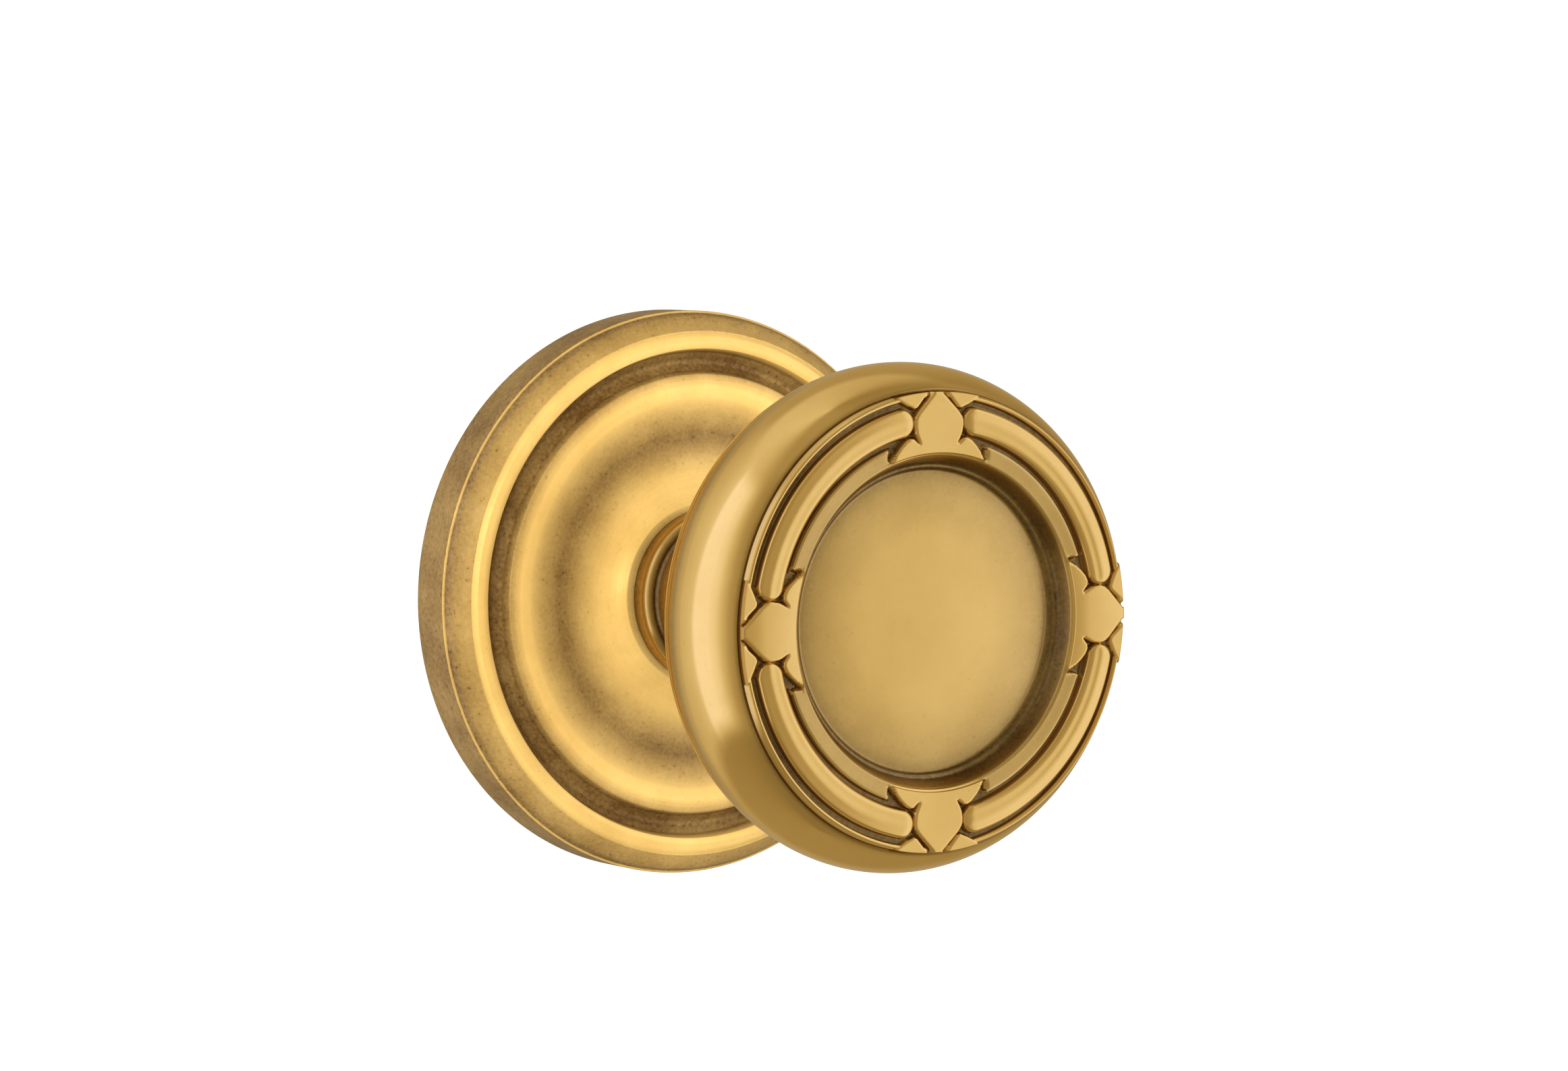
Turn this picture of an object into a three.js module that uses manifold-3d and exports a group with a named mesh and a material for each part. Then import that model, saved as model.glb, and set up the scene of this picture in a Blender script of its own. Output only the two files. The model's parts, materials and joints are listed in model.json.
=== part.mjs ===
// Round passage door knob on a stepped rose, with its spring cassette, fixings and spindle.
//
// Millimetres, +Z up, +X to the right of somebody facing the knob. The knob's axis is the Y axis and the
// door's face is the plane y = 0: the knob stands out towards -Y, and the fixings reach into the door
// towards +Y. In every outline r is the distance from the axis, and h = -y is the height above the
// door's face, so what lies inside the door has a negative h.

import * as THREE from "three";
import { mergeVertices } from "three/addons/utils/BufferGeometryUtils.js";
import Module from "manifold-3d";

const wasm = await Module();
wasm.setup();

// ---------------------------------------------------------------- driving dimensions

const ROSE = {
  radius: 33.35, // at the door
  shoulderRadius: 33.3,
  shoulderHeight: 5.7,
  stepRadius: 31.0,
  stepHeight: 8.2,
  beadInnerRadius: 28.9,
  beadHeight: 8.85,
  grooveRadius: 27.3,
  grooveHeight: 6.6,
  landRadius: 26.0,
  landHeight: 8.4,
  valleyRadius: 19.0,
  valleyHeight: 7.7,
  hubRadius: 10.8,
  hubHeight: 9.5,
  boreRadius: 9.7,
  sheet: 1.3,
};

const KNOB = {
  radius: 28.5,
  equatorHeight: 49.6,
  backArc: 11.6, // radius of the rounded back, seen in section
  frontArc: 8.0, // half the width of the rounded front shoulder, seen in section
  frontRise: 9.0, // and its height
  mouthRadius: 25.5,
  lipRadius: 25.75,
  hubRadius: 9.3,
  hubHeight: 31.9,
  stakeHoleRadius: 7.75,
  wall: 1.3,
};

const FACE = {
  radius: 25.35,
  skirtDepth: 4.0,
  edgeHeight: 56.1,
  outerRingRadius: 24.45,
  outerRingHeight: 57.2,
  groundOuterHeight: 56.2,
  groundInnerHeight: 56.5,
  innerRingRadius: 20.35,
  innerRingHeight: 57.55,
  rimRadius: 18.5,
  rimHeight: 56.95,
  floorRadius: 16.6,
  floorHeight: 54.8,
  domeHeight: 55.2,
  sheet: 1.6,
  motifs: 4,
};

// The tops of the spades lie on a ring that is highest at crestRadius and falls away on both sides of it.
const CROWN = { crestRadius: 22.2, crestHeight: 57.9, fall: 0.066 };

const PAD = { innerRadius: 21.0, outerRadius: 24.15, halfAngle: 36, topHeight: 58.1, bevel: 0.7 };

const SPADE = {
  halfWidth: 3.5,
  footRadius: 18.6, // where it stands on the dish's rim
  earRadius: 20.5,
  earHalfWidth: 6.4,
  shoulderRadius: 22.8,
  tipRadius: 25.3,
};

const PETAL = { nearAngle: 2.8, farAngle: 13.6, innerRadius: 23.9, outerRadius: 25.3, topHeight: 57.45 };

const NECK = { beadRadius: 10.3, beadBack: 9.8, beadFront: 13.0, creaseRadius: 9.0, waistRadius: 8.5 };

const SHANK = {
  journalRadius: 8.2, // turns in the rose's bushing
  journalEnd: -1.8,
  tailRadius: 7.5, // turns in the cassette
  tailEnd: -17.0,
  tailFlat: 6.4, // half the distance across the two flats
  flatsStart: -6.5,
  grooveRadius: 6.85,
  grooveFront: -14.2,
  grooveBack: -15.4,
  stakeRadius: 8.4,
  stakeHeight: 34.6,
  socketHalf: 4.1,
  socketTop: 27.0,
};

const SPINDLE = { half: 3.95, chamfer: 0.5, top: 26.0, end: -46.0 };

const PLATE = {
  radius: 31.3,
  thickness: 1.5,
  flangeHeight: 4.2,
  flangeWall: 1.2,
  boreRadius: 9.2,
};

const BOLT = {
  spacing: 38.0,
  shaftRadius: 2.4,
  headRadius: 4.5,
  headHeight: 2.7,
  holeRadius: 2.7,
  end: -36.0,
  recess: 1.3,
  recessWidth: 0.9,
};

const BOLT_WASHER = { radius: 5.4, thickness: 0.8 };

const CASSETTE = {
  radius: 15.6,
  rim: 1.4,
  wall: 1.4,
  depth: 11.0, // from the plate's back to the cover's front
  coverThickness: 1.2,
  boreRadius: 8.8,
  coverBoreRadius: 7.9,
  stopInnerRadius: 11.0,
  stopHalfAngle: 16,
  tangHalfAngle: 6,
  tangEnd: -3.6,
};

const RIVET = { offset: 12.9, radius: 1.2, headRadius: 2.1, headHeight: 0.9, holeRadius: 1.3 };

const SPRING = {
  coilRadius: 9.9,
  wireRadius: 0.6,
  turns: 3,
  firstCoil: -2.15,
  lastCoil: -5.85,
  legRadius: 12.6,
  legAngle: 9.4, // each leg's angle from the top
};

const DRIVER = {
  front: -6.6,
  back: -8.8,
  ringRadius: 10.2,
  lugRadius: 13.8,
  lugHalfAngle: 12,
  tabFront: -4.2,
  clearance: 0.1,
};

const BUSHING = {
  boreRadius: 8.35,
  spigotRadius: 9.55,
  flangeRadius: 12.4,
  flangeThickness: 1.2,
  back: 5.9,
  front: 9.2,
};

const WAVE_WASHER = {
  innerRadius: 7.9,
  outerRadius: 10.4,
  middle: -12.75,
  thickness: 0.3,
  amplitude: 0.28,
  waves: 3,
};

const THRUST_WASHER = { innerRadius: 7.8, outerRadius: 11.0, front: -13.3, back: -14.1 };

const RETAINING_RING = {
  innerRadius: 6.95,
  outerRadius: 9.2,
  front: -14.3,
  back: -15.3,
  gapHalfAngle: 16,
  earRadius: 1.5,
  earHole: 0.7,
};

const KNOB_SCREW = { height: 20.0, radius: 2.35, holeRadius: 2.55, inner: 4.15, outer: 8.0, socket: 1.3 };
const ROSE_SCREW = { height: 2.7, radius: 1.4, holeRadius: 1.6, inner: 29.4, outer: 32.6, socket: 0.8 };

const FINE = 40; // facets round the visible turned pieces
const COARSE = 24; // facets round the hidden ones
const SMALL = 16; // facets round screws and rivets

// ---------------------------------------------------------------- geometry helpers

const degrees = THREE.MathUtils.degToRad;

// The manifold-3d solid of a closed three.js geometry.
function solid(geometry) {
  const bare = geometry.clone();
  bare.deleteAttribute("normal");
  bare.deleteAttribute("uv");
  const merged = mergeVertices(bare, 1e-4);
  return new wasm.Manifold(
    new wasm.Mesh({
      numProp: 3,
      vertProperties: merged.attributes.position.array,
      triVerts: new Uint32Array(merged.index.array),
    }),
  );
}

// The three.js geometry of a manifold-3d solid.
function geometryOf(body) {
  const mesh = body.getMesh();
  return new THREE.BufferGeometry()
    .setAttribute("position", new THREE.BufferAttribute(mesh.vertProperties, 3))
    .setIndex(new THREE.BufferAttribute(mesh.triVerts, 1));
}

function join(first, ...others) {
  return geometryOf(others.reduce((sum, geometry) => sum.add(solid(geometry)), solid(first)));
}

function cut(body, ...tools) {
  return geometryOf(tools.reduce((rest, geometry) => rest.subtract(solid(geometry)), solid(body)));
}

// A solid of revolution round the knob's axis. The outline is a list of [r, h] corners: it closes on
// itself, unless both its ends lie on the axis.
function turned(outline, facets) {
  const loop = outline.map(([r, h]) => new THREE.Vector2(r, -h));
  if (THREE.ShapeUtils.isClockWise(loop)) loop.reverse();
  if (loop[0].x > 0 || loop.at(-1).x > 0) loop.push(loop[0].clone());
  return new THREE.LatheGeometry(loop, facets);
}

// The [r, h] corners of a curved stretch of an outline, drawn as a three.js path.
function corners(path, divisions) {
  return path.getPoints(divisions).map((point) => [point.x, point.y]);
}

// Corners on an arc round (centreR, centreH), with angles measured from the outward direction. The arc is
// circular, unless its half height, rise, is given too.
function arc(centreR, centreH, radius, from, to, divisions, rise = radius) {
  return Array.from({ length: divisions + 1 }, (_, i) => {
    const angle = degrees(from + ((to - from) * i) / divisions);
    return [centreR + radius * Math.cos(angle), centreH + rise * Math.sin(angle)];
  });
}

// A round bar along the knob's axis direction, from height low to height high, centred on (x, z).
function bar(radius, low, high, x, z, facets = SMALL) {
  return new THREE.CylinderGeometry(radius, radius, high - low, facets).translate(x, -(low + high) / 2, z);
}

// A round bar along Z at the given height, from z = low to z = high.
function uprightBar(radius, low, high, height, facets = SMALL) {
  return new THREE.CylinderGeometry(radius, radius, high - low, facets)
    .rotateX(Math.PI / 2)
    .translate(0, -height, (low + high) / 2);
}

// An outline drawn in the XZ plane, made solid between the heights low and high.
function slab(shape, low, high, options = {}) {
  const settings = { depth: high - low, bevelEnabled: false, curveSegments: 10, ...options };
  return new THREE.ExtrudeGeometry(shape, settings).rotateX(Math.PI / 2).translate(0, -low, 0);
}

// A block of a ring between two radii, centred on an angle measured from +X towards +Z.
function ringBlock(innerRadius, outerRadius, centre, halfAngle, low, high, curveSegments = 4) {
  const start = degrees(centre - halfAngle);
  const end = degrees(centre + halfAngle);
  const shape = new THREE.Shape()
    .absarc(0, 0, outerRadius, start, end, false)
    .absarc(0, 0, innerRadius, end, start, true);
  return slab(shape, low, high, { curveSegments });
}

function washer(innerRadius, outerRadius, low, high, facets = COARSE) {
  return turned(
    [
      [innerRadius, low],
      [outerRadius, low],
      [outerRadius, high],
      [innerRadius, high],
    ],
    facets,
  );
}

// A headless screw along Z with a hexagon socket in its lower end.
function grubScrew({ height, radius, inner, outer, socket }) {
  const body = uprightBar(radius, -outer, -inner, height);
  const key = uprightBar(socket, -outer - 1, -outer + 1.6, height, 6);
  return cut(body, key);
}

// ---------------------------------------------------------------- the rose and what it hides

function rose() {
  const beadCrest = ROSE.beadInnerRadius + 0.5;
  const outside = new THREE.Path()
    .moveTo(ROSE.radius, 0)
    .lineTo(ROSE.shoulderRadius, ROSE.shoulderHeight)
    .quadraticCurveTo(ROSE.shoulderRadius - 0.3, ROSE.stepHeight - 0.5, ROSE.stepRadius, ROSE.stepHeight)
    .quadraticCurveTo(ROSE.stepRadius - 1.2, ROSE.beadHeight + 0.3, beadCrest, ROSE.beadHeight)
    .lineTo(ROSE.beadInnerRadius, ROSE.beadHeight - 0.3)
    .quadraticCurveTo(ROSE.grooveRadius + 1, ROSE.grooveHeight, ROSE.grooveRadius, ROSE.grooveHeight)
    .quadraticCurveTo(ROSE.grooveRadius - 0.9, ROSE.grooveHeight, ROSE.landRadius, ROSE.landHeight)
    .quadraticCurveTo(ROSE.landRadius - 3, ROSE.valleyHeight, ROSE.valleyRadius, ROSE.valleyHeight)
    .quadraticCurveTo(ROSE.hubRadius + 3, ROSE.valleyHeight, ROSE.hubRadius, ROSE.hubHeight)
    .lineTo(ROSE.boreRadius, ROSE.hubHeight);
  const sheet = ROSE.sheet;
  const valleyBack = ROSE.valleyHeight - sheet;
  const inside = new THREE.Path()
    .moveTo(ROSE.boreRadius, ROSE.hubHeight - sheet)
    .quadraticCurveTo(ROSE.hubRadius + 2, valleyBack, ROSE.valleyRadius, valleyBack)
    .lineTo(ROSE.landRadius - 0.6, ROSE.landHeight - sheet)
    .lineTo(ROSE.grooveRadius - 0.9, ROSE.grooveHeight - sheet)
    .lineTo(ROSE.grooveRadius + 0.6, ROSE.grooveHeight - sheet)
    .lineTo(ROSE.beadInnerRadius + 0.4, ROSE.beadHeight - sheet)
    .lineTo(ROSE.stepRadius - 0.7, ROSE.stepHeight - sheet)
    .lineTo(ROSE.shoulderRadius - sheet, ROSE.shoulderHeight - 0.4)
    .lineTo(ROSE.radius - sheet, 0);
  const shell = turned([...corners(outside, 4), ...corners(inside, 2)], FINE);
  const screwHole = uprightBar(ROSE_SCREW.holeRadius, -ROSE.radius - 1, -ROSE.radius + 3, ROSE_SCREW.height);
  return cut(shell, screwHole);
}

function roseBushing() {
  return turned(
    [
      [BUSHING.boreRadius, BUSHING.back],
      [BUSHING.flangeRadius, BUSHING.back],
      [BUSHING.flangeRadius, BUSHING.back + BUSHING.flangeThickness],
      [BUSHING.spigotRadius, BUSHING.back + BUSHING.flangeThickness],
      [BUSHING.spigotRadius, BUSHING.front],
      [BUSHING.boreRadius, BUSHING.front],
    ],
    COARSE,
  );
}

function mountingPlate() {
  const flangeInner = PLATE.radius - PLATE.flangeWall;
  const pan = turned(
    [
      [PLATE.boreRadius, 0],
      [PLATE.radius, 0],
      [PLATE.radius, PLATE.flangeHeight],
      [flangeInner, PLATE.flangeHeight],
      [flangeInner, PLATE.thickness],
      [PLATE.boreRadius, PLATE.thickness],
    ],
    FINE,
  );
  const above = PLATE.thickness + 1;
  const boltHoles = [1, -1].map((side) => bar(BOLT.holeRadius, -1, above, 0, (side * BOLT.spacing) / 2));
  const screwHole = uprightBar(ROSE_SCREW.holeRadius, -PLATE.radius - 1, -flangeInner + 1, ROSE_SCREW.height);
  return cut(pan, ...boltHoles, ...rivetHoles(0, PLATE.thickness), screwHole);
}

function boltWasher(z) {
  const low = PLATE.thickness;
  return washer(BOLT.holeRadius, BOLT_WASHER.radius, low, low + BOLT_WASHER.thickness).translate(0, 0, z);
}

function throughBolt(z) {
  const seat = PLATE.thickness + BOLT_WASHER.thickness;
  const top = seat + BOLT.headHeight;
  const body = turned(
    [
      [0, top],
      [BOLT.headRadius * 0.6, top - 0.2],
      [BOLT.headRadius * 0.92, top - 1.1],
      [BOLT.headRadius, seat],
      [BOLT.shaftRadius, seat],
      [BOLT.shaftRadius, BOLT.end + 0.6],
      [BOLT.shaftRadius - 0.6, BOLT.end],
      [0, BOLT.end],
    ],
    SMALL,
  );
  const slotLength = BOLT.headRadius * 1.1;
  const slots = [0, 90].map((angle) =>
    new THREE.BoxGeometry(slotLength, BOLT.recess * 2, BOLT.recessWidth)
      .rotateY(degrees(angle))
      .translate(0, -top, 0),
  );
  return cut(body, ...slots).translate(0, 0, z);
}

// ---------------------------------------------------------------- the spring cassette behind the plate

// Tools that cut the two rivet holes through whatever lies between the heights low and high.
function rivetHoles(low, high) {
  return [1, -1].map((side) => bar(RIVET.holeRadius, low - 1, high + 1, side * RIVET.offset, 0));
}

function cassetteHousing() {
  const rimInner = CASSETTE.radius - CASSETTE.rim;
  const cup = turned(
    [
      [CASSETTE.boreRadius, 0],
      [CASSETTE.radius, 0],
      [CASSETTE.radius, -CASSETTE.depth],
      [rimInner, -CASSETTE.depth],
      [rimInner, -CASSETTE.wall],
      [CASSETTE.boreRadius, -CASSETTE.wall],
    ],
    FINE,
  );
  const inWall = -CASSETTE.wall + 0.4;
  const inRim = CASSETTE.radius - 0.5;
  const stops = [0, 180].map((angle) =>
    ringBlock(CASSETTE.stopInnerRadius, inRim, angle, CASSETTE.stopHalfAngle, -CASSETTE.depth, inWall),
  );
  const tangInner = CASSETTE.stopInnerRadius + 0.4;
  const tang = ringBlock(tangInner, inRim, 90, CASSETTE.tangHalfAngle, CASSETTE.tangEnd, inWall);
  return cut(join(cup, ...stops, tang), ...rivetHoles(-CASSETTE.depth, 0));
}

function cassetteCover() {
  const front = -CASSETTE.depth;
  const back = front - CASSETTE.coverThickness;
  const disc = washer(CASSETTE.coverBoreRadius, CASSETTE.radius, back, front, FINE);
  return cut(disc, ...rivetHoles(back, front));
}

function cassetteRivet(x) {
  const front = PLATE.thickness;
  const back = -CASSETTE.depth - CASSETTE.coverThickness;
  return turned(
    [
      [0, front + RIVET.headHeight],
      [RIVET.headRadius * 0.7, front + RIVET.headHeight * 0.75],
      [RIVET.headRadius, front],
      [RIVET.radius, front],
      [RIVET.radius, back],
      [RIVET.headRadius, back],
      [RIVET.headRadius * 0.7, back - RIVET.headHeight * 0.75],
      [0, back - RIVET.headHeight],
    ],
    SMALL,
  ).translate(x, 0, 0);
}

// A torsion spring round the shank's tail. Its two legs straddle the housing's tang and the driver's tab,
// so turning the knob either way winds it up.
function returnSpring() {
  const point = (radius, angle, height) =>
    new THREE.Vector3(radius * Math.cos(degrees(angle)), -height, radius * Math.sin(degrees(angle)));
  const start = 90 + SPRING.legAngle;
  const sweep = 360 * SPRING.turns - 2 * SPRING.legAngle;
  const end = start + sweep;
  const steps = 18 * SPRING.turns;
  const coil = Array.from({ length: steps + 1 }, (_, i) => {
    const share = i / steps;
    const height = THREE.MathUtils.lerp(SPRING.firstCoil, SPRING.lastCoil, share);
    return point(SPRING.coilRadius, start + 8 + (sweep - 16) * share, height);
  });
  const legMiddle = (SPRING.coilRadius + SPRING.legRadius) / 2;
  const bend = SPRING.wireRadius;
  const firstLeg = [
    point(SPRING.legRadius, start, SPRING.lastCoil + 0.4),
    point(SPRING.legRadius, start, SPRING.firstCoil - bend),
    point(SPRING.legRadius - bend, start, SPRING.firstCoil),
    point(legMiddle, start, SPRING.firstCoil),
  ];
  const lastLeg = [
    point(legMiddle, end, SPRING.lastCoil),
    point(SPRING.legRadius - bend, end, SPRING.lastCoil),
    point(SPRING.legRadius, end, SPRING.lastCoil + bend),
    point(SPRING.legRadius, end, SPRING.firstCoil - 0.4),
  ];
  const route = new THREE.CatmullRomCurve3([...firstLeg, ...coil, ...lastLeg], false, "centripetal");
  const section = new THREE.Shape().absarc(0, 0, SPRING.wireRadius, 0, 2 * Math.PI, false);
  return new THREE.ExtrudeGeometry(section, {
    extrudePath: route,
    steps: steps + 24,
    curveSegments: 4,
    bevelEnabled: false,
  });
}

// ---------------------------------------------------------------- what turns with the knob

// The hollow body of the knob, staked to the shank at the back and open at the front for the face.
function knobShell() {
  const frontCentre = KNOB.radius - KNOB.frontArc;
  const backCentre = KNOB.radius - KNOB.backArc;
  const lipAngle = THREE.MathUtils.radToDeg(Math.acos((KNOB.lipRadius - frontCentre) / KNOB.frontArc));
  const innerFrontArc = KNOB.frontArc - KNOB.wall;
  const innerFrontRise = KNOB.frontRise - KNOB.wall;
  const mouthAngle = THREE.MathUtils.radToDeg(Math.acos((KNOB.mouthRadius - frontCentre) / innerFrontArc));
  const backHeight = KNOB.equatorHeight - KNOB.backArc;
  const cove = new THREE.Path()
    .moveTo(KNOB.hubRadius, KNOB.hubHeight)
    .quadraticCurveTo(KNOB.hubRadius + 0.6, backHeight, backCentre, backHeight);
  const lipHeight = KNOB.equatorHeight + KNOB.frontRise * Math.sin(degrees(lipAngle));
  const innerBack = backHeight + KNOB.wall;
  const innerHub = KNOB.hubHeight + KNOB.wall + 0.1;
  const innerHubRadius = KNOB.hubRadius - 0.5;
  const innerCove = new THREE.Path()
    .moveTo(backCentre, innerBack)
    .quadraticCurveTo(innerHubRadius, innerBack, innerHubRadius, innerHub);
  return turned(
    [
      [KNOB.stakeHoleRadius, KNOB.hubHeight],
      ...corners(cove, 5),
      ...arc(backCentre, KNOB.equatorHeight, KNOB.backArc, -90, 0, 8).slice(1),
      ...arc(frontCentre, KNOB.equatorHeight, KNOB.frontArc, 0, lipAngle, 5, KNOB.frontRise).slice(1),
      [KNOB.mouthRadius, lipHeight - 0.1],
      ...arc(frontCentre, KNOB.equatorHeight, innerFrontArc, mouthAngle, 0, 3, innerFrontRise),
      ...arc(backCentre, KNOB.equatorHeight, KNOB.backArc - KNOB.wall, 0, -90, 5).slice(1),
      ...corners(innerCove, 3).slice(1),
      [KNOB.stakeHoleRadius, innerHub],
    ],
    FINE,
  );
}

// The pressed disc of the face: an outer ring, a ground for the ornament, an inner ring and the dish.
function faceDisc() {
  const floorBack = FACE.floorHeight - FACE.sheet;
  const groundBack = FACE.groundOuterHeight - FACE.sheet;
  const skirtInner = FACE.radius - 1;
  return turned(
    [
      [FACE.radius, FACE.edgeHeight - FACE.skirtDepth],
      [FACE.radius, FACE.edgeHeight],
      [FACE.radius - 0.3, FACE.outerRingHeight - 0.1],
      [FACE.outerRingRadius, FACE.outerRingHeight],
      [FACE.outerRingRadius - 0.2, FACE.groundOuterHeight],
      [FACE.innerRingRadius + 0.2, FACE.groundInnerHeight],
      [FACE.innerRingRadius, FACE.innerRingHeight - 0.2],
      [FACE.innerRingRadius - 0.3, FACE.innerRingHeight],
      [FACE.rimRadius, FACE.rimHeight],
      [FACE.rimRadius - 0.4, FACE.rimHeight - 0.6],
      [FACE.floorRadius + 0.5, FACE.floorHeight + 0.2],
      [FACE.floorRadius, FACE.floorHeight],
      [FACE.floorRadius / 2, FACE.domeHeight - 0.1],
      [0, FACE.domeHeight],
      [0, floorBack],
      [FACE.rimRadius, floorBack],
      [skirtInner, groundBack],
      [skirtInner, FACE.edgeHeight - FACE.skirtDepth],
    ],
    FINE,
  );
}

function bevelled(shape, low, top, bevel, curveSegments) {
  return slab(shape, low, top - bevel, {
    bevelEnabled: true,
    bevelThickness: bevel,
    bevelSize: bevel,
    bevelOffset: -bevel,
    bevelSegments: 2,
    curveSegments,
  });
}

// A crowned band with round ends, lying between two motifs.
function facePad(centre) {
  const middle = (PAD.innerRadius + PAD.outerRadius) / 2;
  const endRadius = (PAD.outerRadius - PAD.innerRadius) / 2;
  const endAngle = PAD.halfAngle - THREE.MathUtils.radToDeg(endRadius / middle);
  const from = degrees(centre - endAngle);
  const to = degrees(centre + endAngle);
  const shape = new THREE.Shape();
  const roundEnd = (angle, start) => {
    const [x, y] = [middle * Math.cos(angle), middle * Math.sin(angle)];
    shape.absarc(x, y, endRadius, start, start + Math.PI, false);
  };
  shape.absarc(0, 0, PAD.outerRadius, from, to, false);
  roundEnd(to, to);
  shape.absarc(0, 0, PAD.innerRadius, to, from, true);
  roundEnd(from, from + Math.PI);
  return bevelled(shape, FACE.groundOuterHeight - 0.5, PAD.topHeight, PAD.bevel, 4);
}

// The spade that points outwards at the top of the face, before it is turned to its own quarter.
function spadeShape() {
  const { halfWidth, footRadius, earRadius, earHalfWidth, shoulderRadius, tipRadius } = SPADE;
  const half = new THREE.Path()
    .moveTo(earHalfWidth - 0.4, footRadius - 0.9)
    .lineTo(earHalfWidth, footRadius)
    .quadraticCurveTo(halfWidth + 0.8, footRadius + 0.6, halfWidth + 0.5, earRadius)
    .lineTo(halfWidth, earRadius)
    .lineTo(halfWidth, shoulderRadius)
    .quadraticCurveTo(halfWidth - 0.9, tipRadius - 0.7, 0, tipRadius)
    .getPoints(4);
  const mirrored = half.slice(0, -1).map((point) => new THREE.Vector2(-point.x, point.y));
  return new THREE.Shape([...half, ...mirrored.reverse()]);
}

function petalShape(side) {
  const at = (radius, angle) =>
    new THREE.Vector2(radius * Math.sin(degrees(side * angle)), radius * Math.cos(degrees(angle)));
  const { nearAngle, farAngle, innerRadius, outerRadius } = PETAL;
  const inner = at(innerRadius, (nearAngle + farAngle) / 2);
  return new THREE.Shape([inner, at(outerRadius, farAngle), at(outerRadius, nearAngle)]);
}

// What lies above the crown, up to a height: a tool that shapes the tops of the spades.
function aboveCrown(height) {
  const inner = FACE.floorRadius;
  const outer = FACE.radius + 1;
  const surface = Array.from({ length: 7 }, (_, i) => {
    const r = inner + ((outer - inner) * i) / 6;
    return [r, CROWN.crestHeight - CROWN.fall * (r - CROWN.crestRadius) ** 2];
  });
  return turned([...surface, [outer, height], [inner, height]], FINE);
}

function knobFace() {
  const quarters = Array.from({ length: FACE.motifs }, (_, i) => (360 / FACE.motifs) * i);
  const low = FACE.groundOuterHeight - 0.5;
  const pads = quarters.map((angle) => facePad(angle + 180 / FACE.motifs));
  const top = CROWN.crestHeight + 1;
  const spades = quarters.map((angle) => slab(spadeShape(), low, top).rotateY(degrees(angle)));
  const petals = quarters.flatMap((angle) =>
    [1, -1].map((side) => slab(petalShape(side), low, PETAL.topHeight).rotateY(degrees(angle))),
  );
  const crownedSpades = cut(join(...spades), aboveCrown(top + 1));
  return join(faceDisc(), crownedSpades, ...pads, ...petals);
}

// The neck's bead and waist in front of the rose, and the journal and tail behind it, bored square.
function knobShank() {
  const shoulder = KNOB.hubHeight - 0.2;
  const waist = new THREE.Path()
    .moveTo(KNOB.hubRadius, shoulder)
    .quadraticCurveTo(NECK.waistRadius, shoulder - 6, NECK.waistRadius, shoulder - 12)
    .quadraticCurveTo(NECK.waistRadius, NECK.beadFront + 2.4, NECK.creaseRadius, NECK.beadFront + 0.4);
  const beadMiddle = (NECK.beadBack + NECK.beadFront) / 2;
  const bead = new THREE.Path()
    .moveTo(NECK.beadRadius - 0.5, NECK.beadFront)
    .quadraticCurveTo(NECK.beadRadius, NECK.beadFront - 0.2, NECK.beadRadius, beadMiddle)
    .quadraticCurveTo(NECK.beadRadius, NECK.beadBack + 0.2, NECK.beadRadius - 0.4, NECK.beadBack);
  const body = turned(
    [
      [0, SHANK.stakeHeight],
      [SHANK.stakeRadius, SHANK.stakeHeight],
      [SHANK.stakeRadius, SHANK.stakeHeight - 1],
      [KNOB.stakeHoleRadius - 0.15, SHANK.stakeHeight - 1],
      [KNOB.stakeHoleRadius - 0.15, shoulder],
      ...corners(waist, 4),
      ...corners(bead, 3),
      [SHANK.journalRadius, NECK.beadBack],
      [SHANK.journalRadius, SHANK.journalEnd],
      [SHANK.tailRadius, SHANK.journalEnd - 0.1],
      [SHANK.tailRadius, SHANK.grooveFront],
      [SHANK.grooveRadius, SHANK.grooveFront],
      [SHANK.grooveRadius, SHANK.grooveBack],
      [SHANK.tailRadius, SHANK.grooveBack],
      [SHANK.tailRadius, SHANK.tailEnd + 0.5],
      [SHANK.tailRadius - 0.5, SHANK.tailEnd],
      [0, SHANK.tailEnd],
    ],
    32,
  );
  const side = 2 * SHANK.socketHalf;
  const length = SHANK.socketTop - SHANK.tailEnd + 1;
  const socket = new THREE.BoxGeometry(side, length, side).translate(0, length / 2 - SHANK.socketTop, 0);
  const flatLength = SHANK.flatsStart - SHANK.tailEnd + 1;
  const flats = [1, -1].map((sign) =>
    new THREE.BoxGeometry(4, flatLength, 20).translate(
      sign * (SHANK.tailFlat + 2),
      flatLength / 2 - SHANK.flatsStart,
      0,
    ),
  );
  const screwHole = uprightBar(KNOB_SCREW.holeRadius, -NECK.beadRadius - 1, 0, KNOB_SCREW.height);
  return cut(body, socket, ...flats, screwHole);
}

// The steel driver on the shank's flats: its lugs meet the cassette's stops, and its tab moves the spring.
function springDriver() {
  const { front, back, ringRadius, lugRadius, lugHalfAngle, tabFront, clearance } = DRIVER;
  const ring = bar(ringRadius, back, front, 0, 0, COARSE);
  const lugs = [90, 270].map((angle) =>
    ringBlock(ringRadius - 1, lugRadius, angle, lugHalfAngle, back, front),
  );
  const tab = ringBlock(
    CASSETTE.stopInnerRadius + 0.4,
    lugRadius - 0.2,
    90,
    CASSETTE.tangHalfAngle,
    front - 0.4,
    tabFront,
  );
  const round = bar(SHANK.tailRadius + clearance, back - 1, front + 1, 0, 0, 32);
  const across = 2 * (SHANK.tailFlat + clearance);
  const between = new THREE.BoxGeometry(across, 40, 40);
  const keyedHole = geometryOf(solid(round).intersect(solid(between)));
  return cut(join(ring, ...lugs, tab), keyedHole);
}

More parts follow.
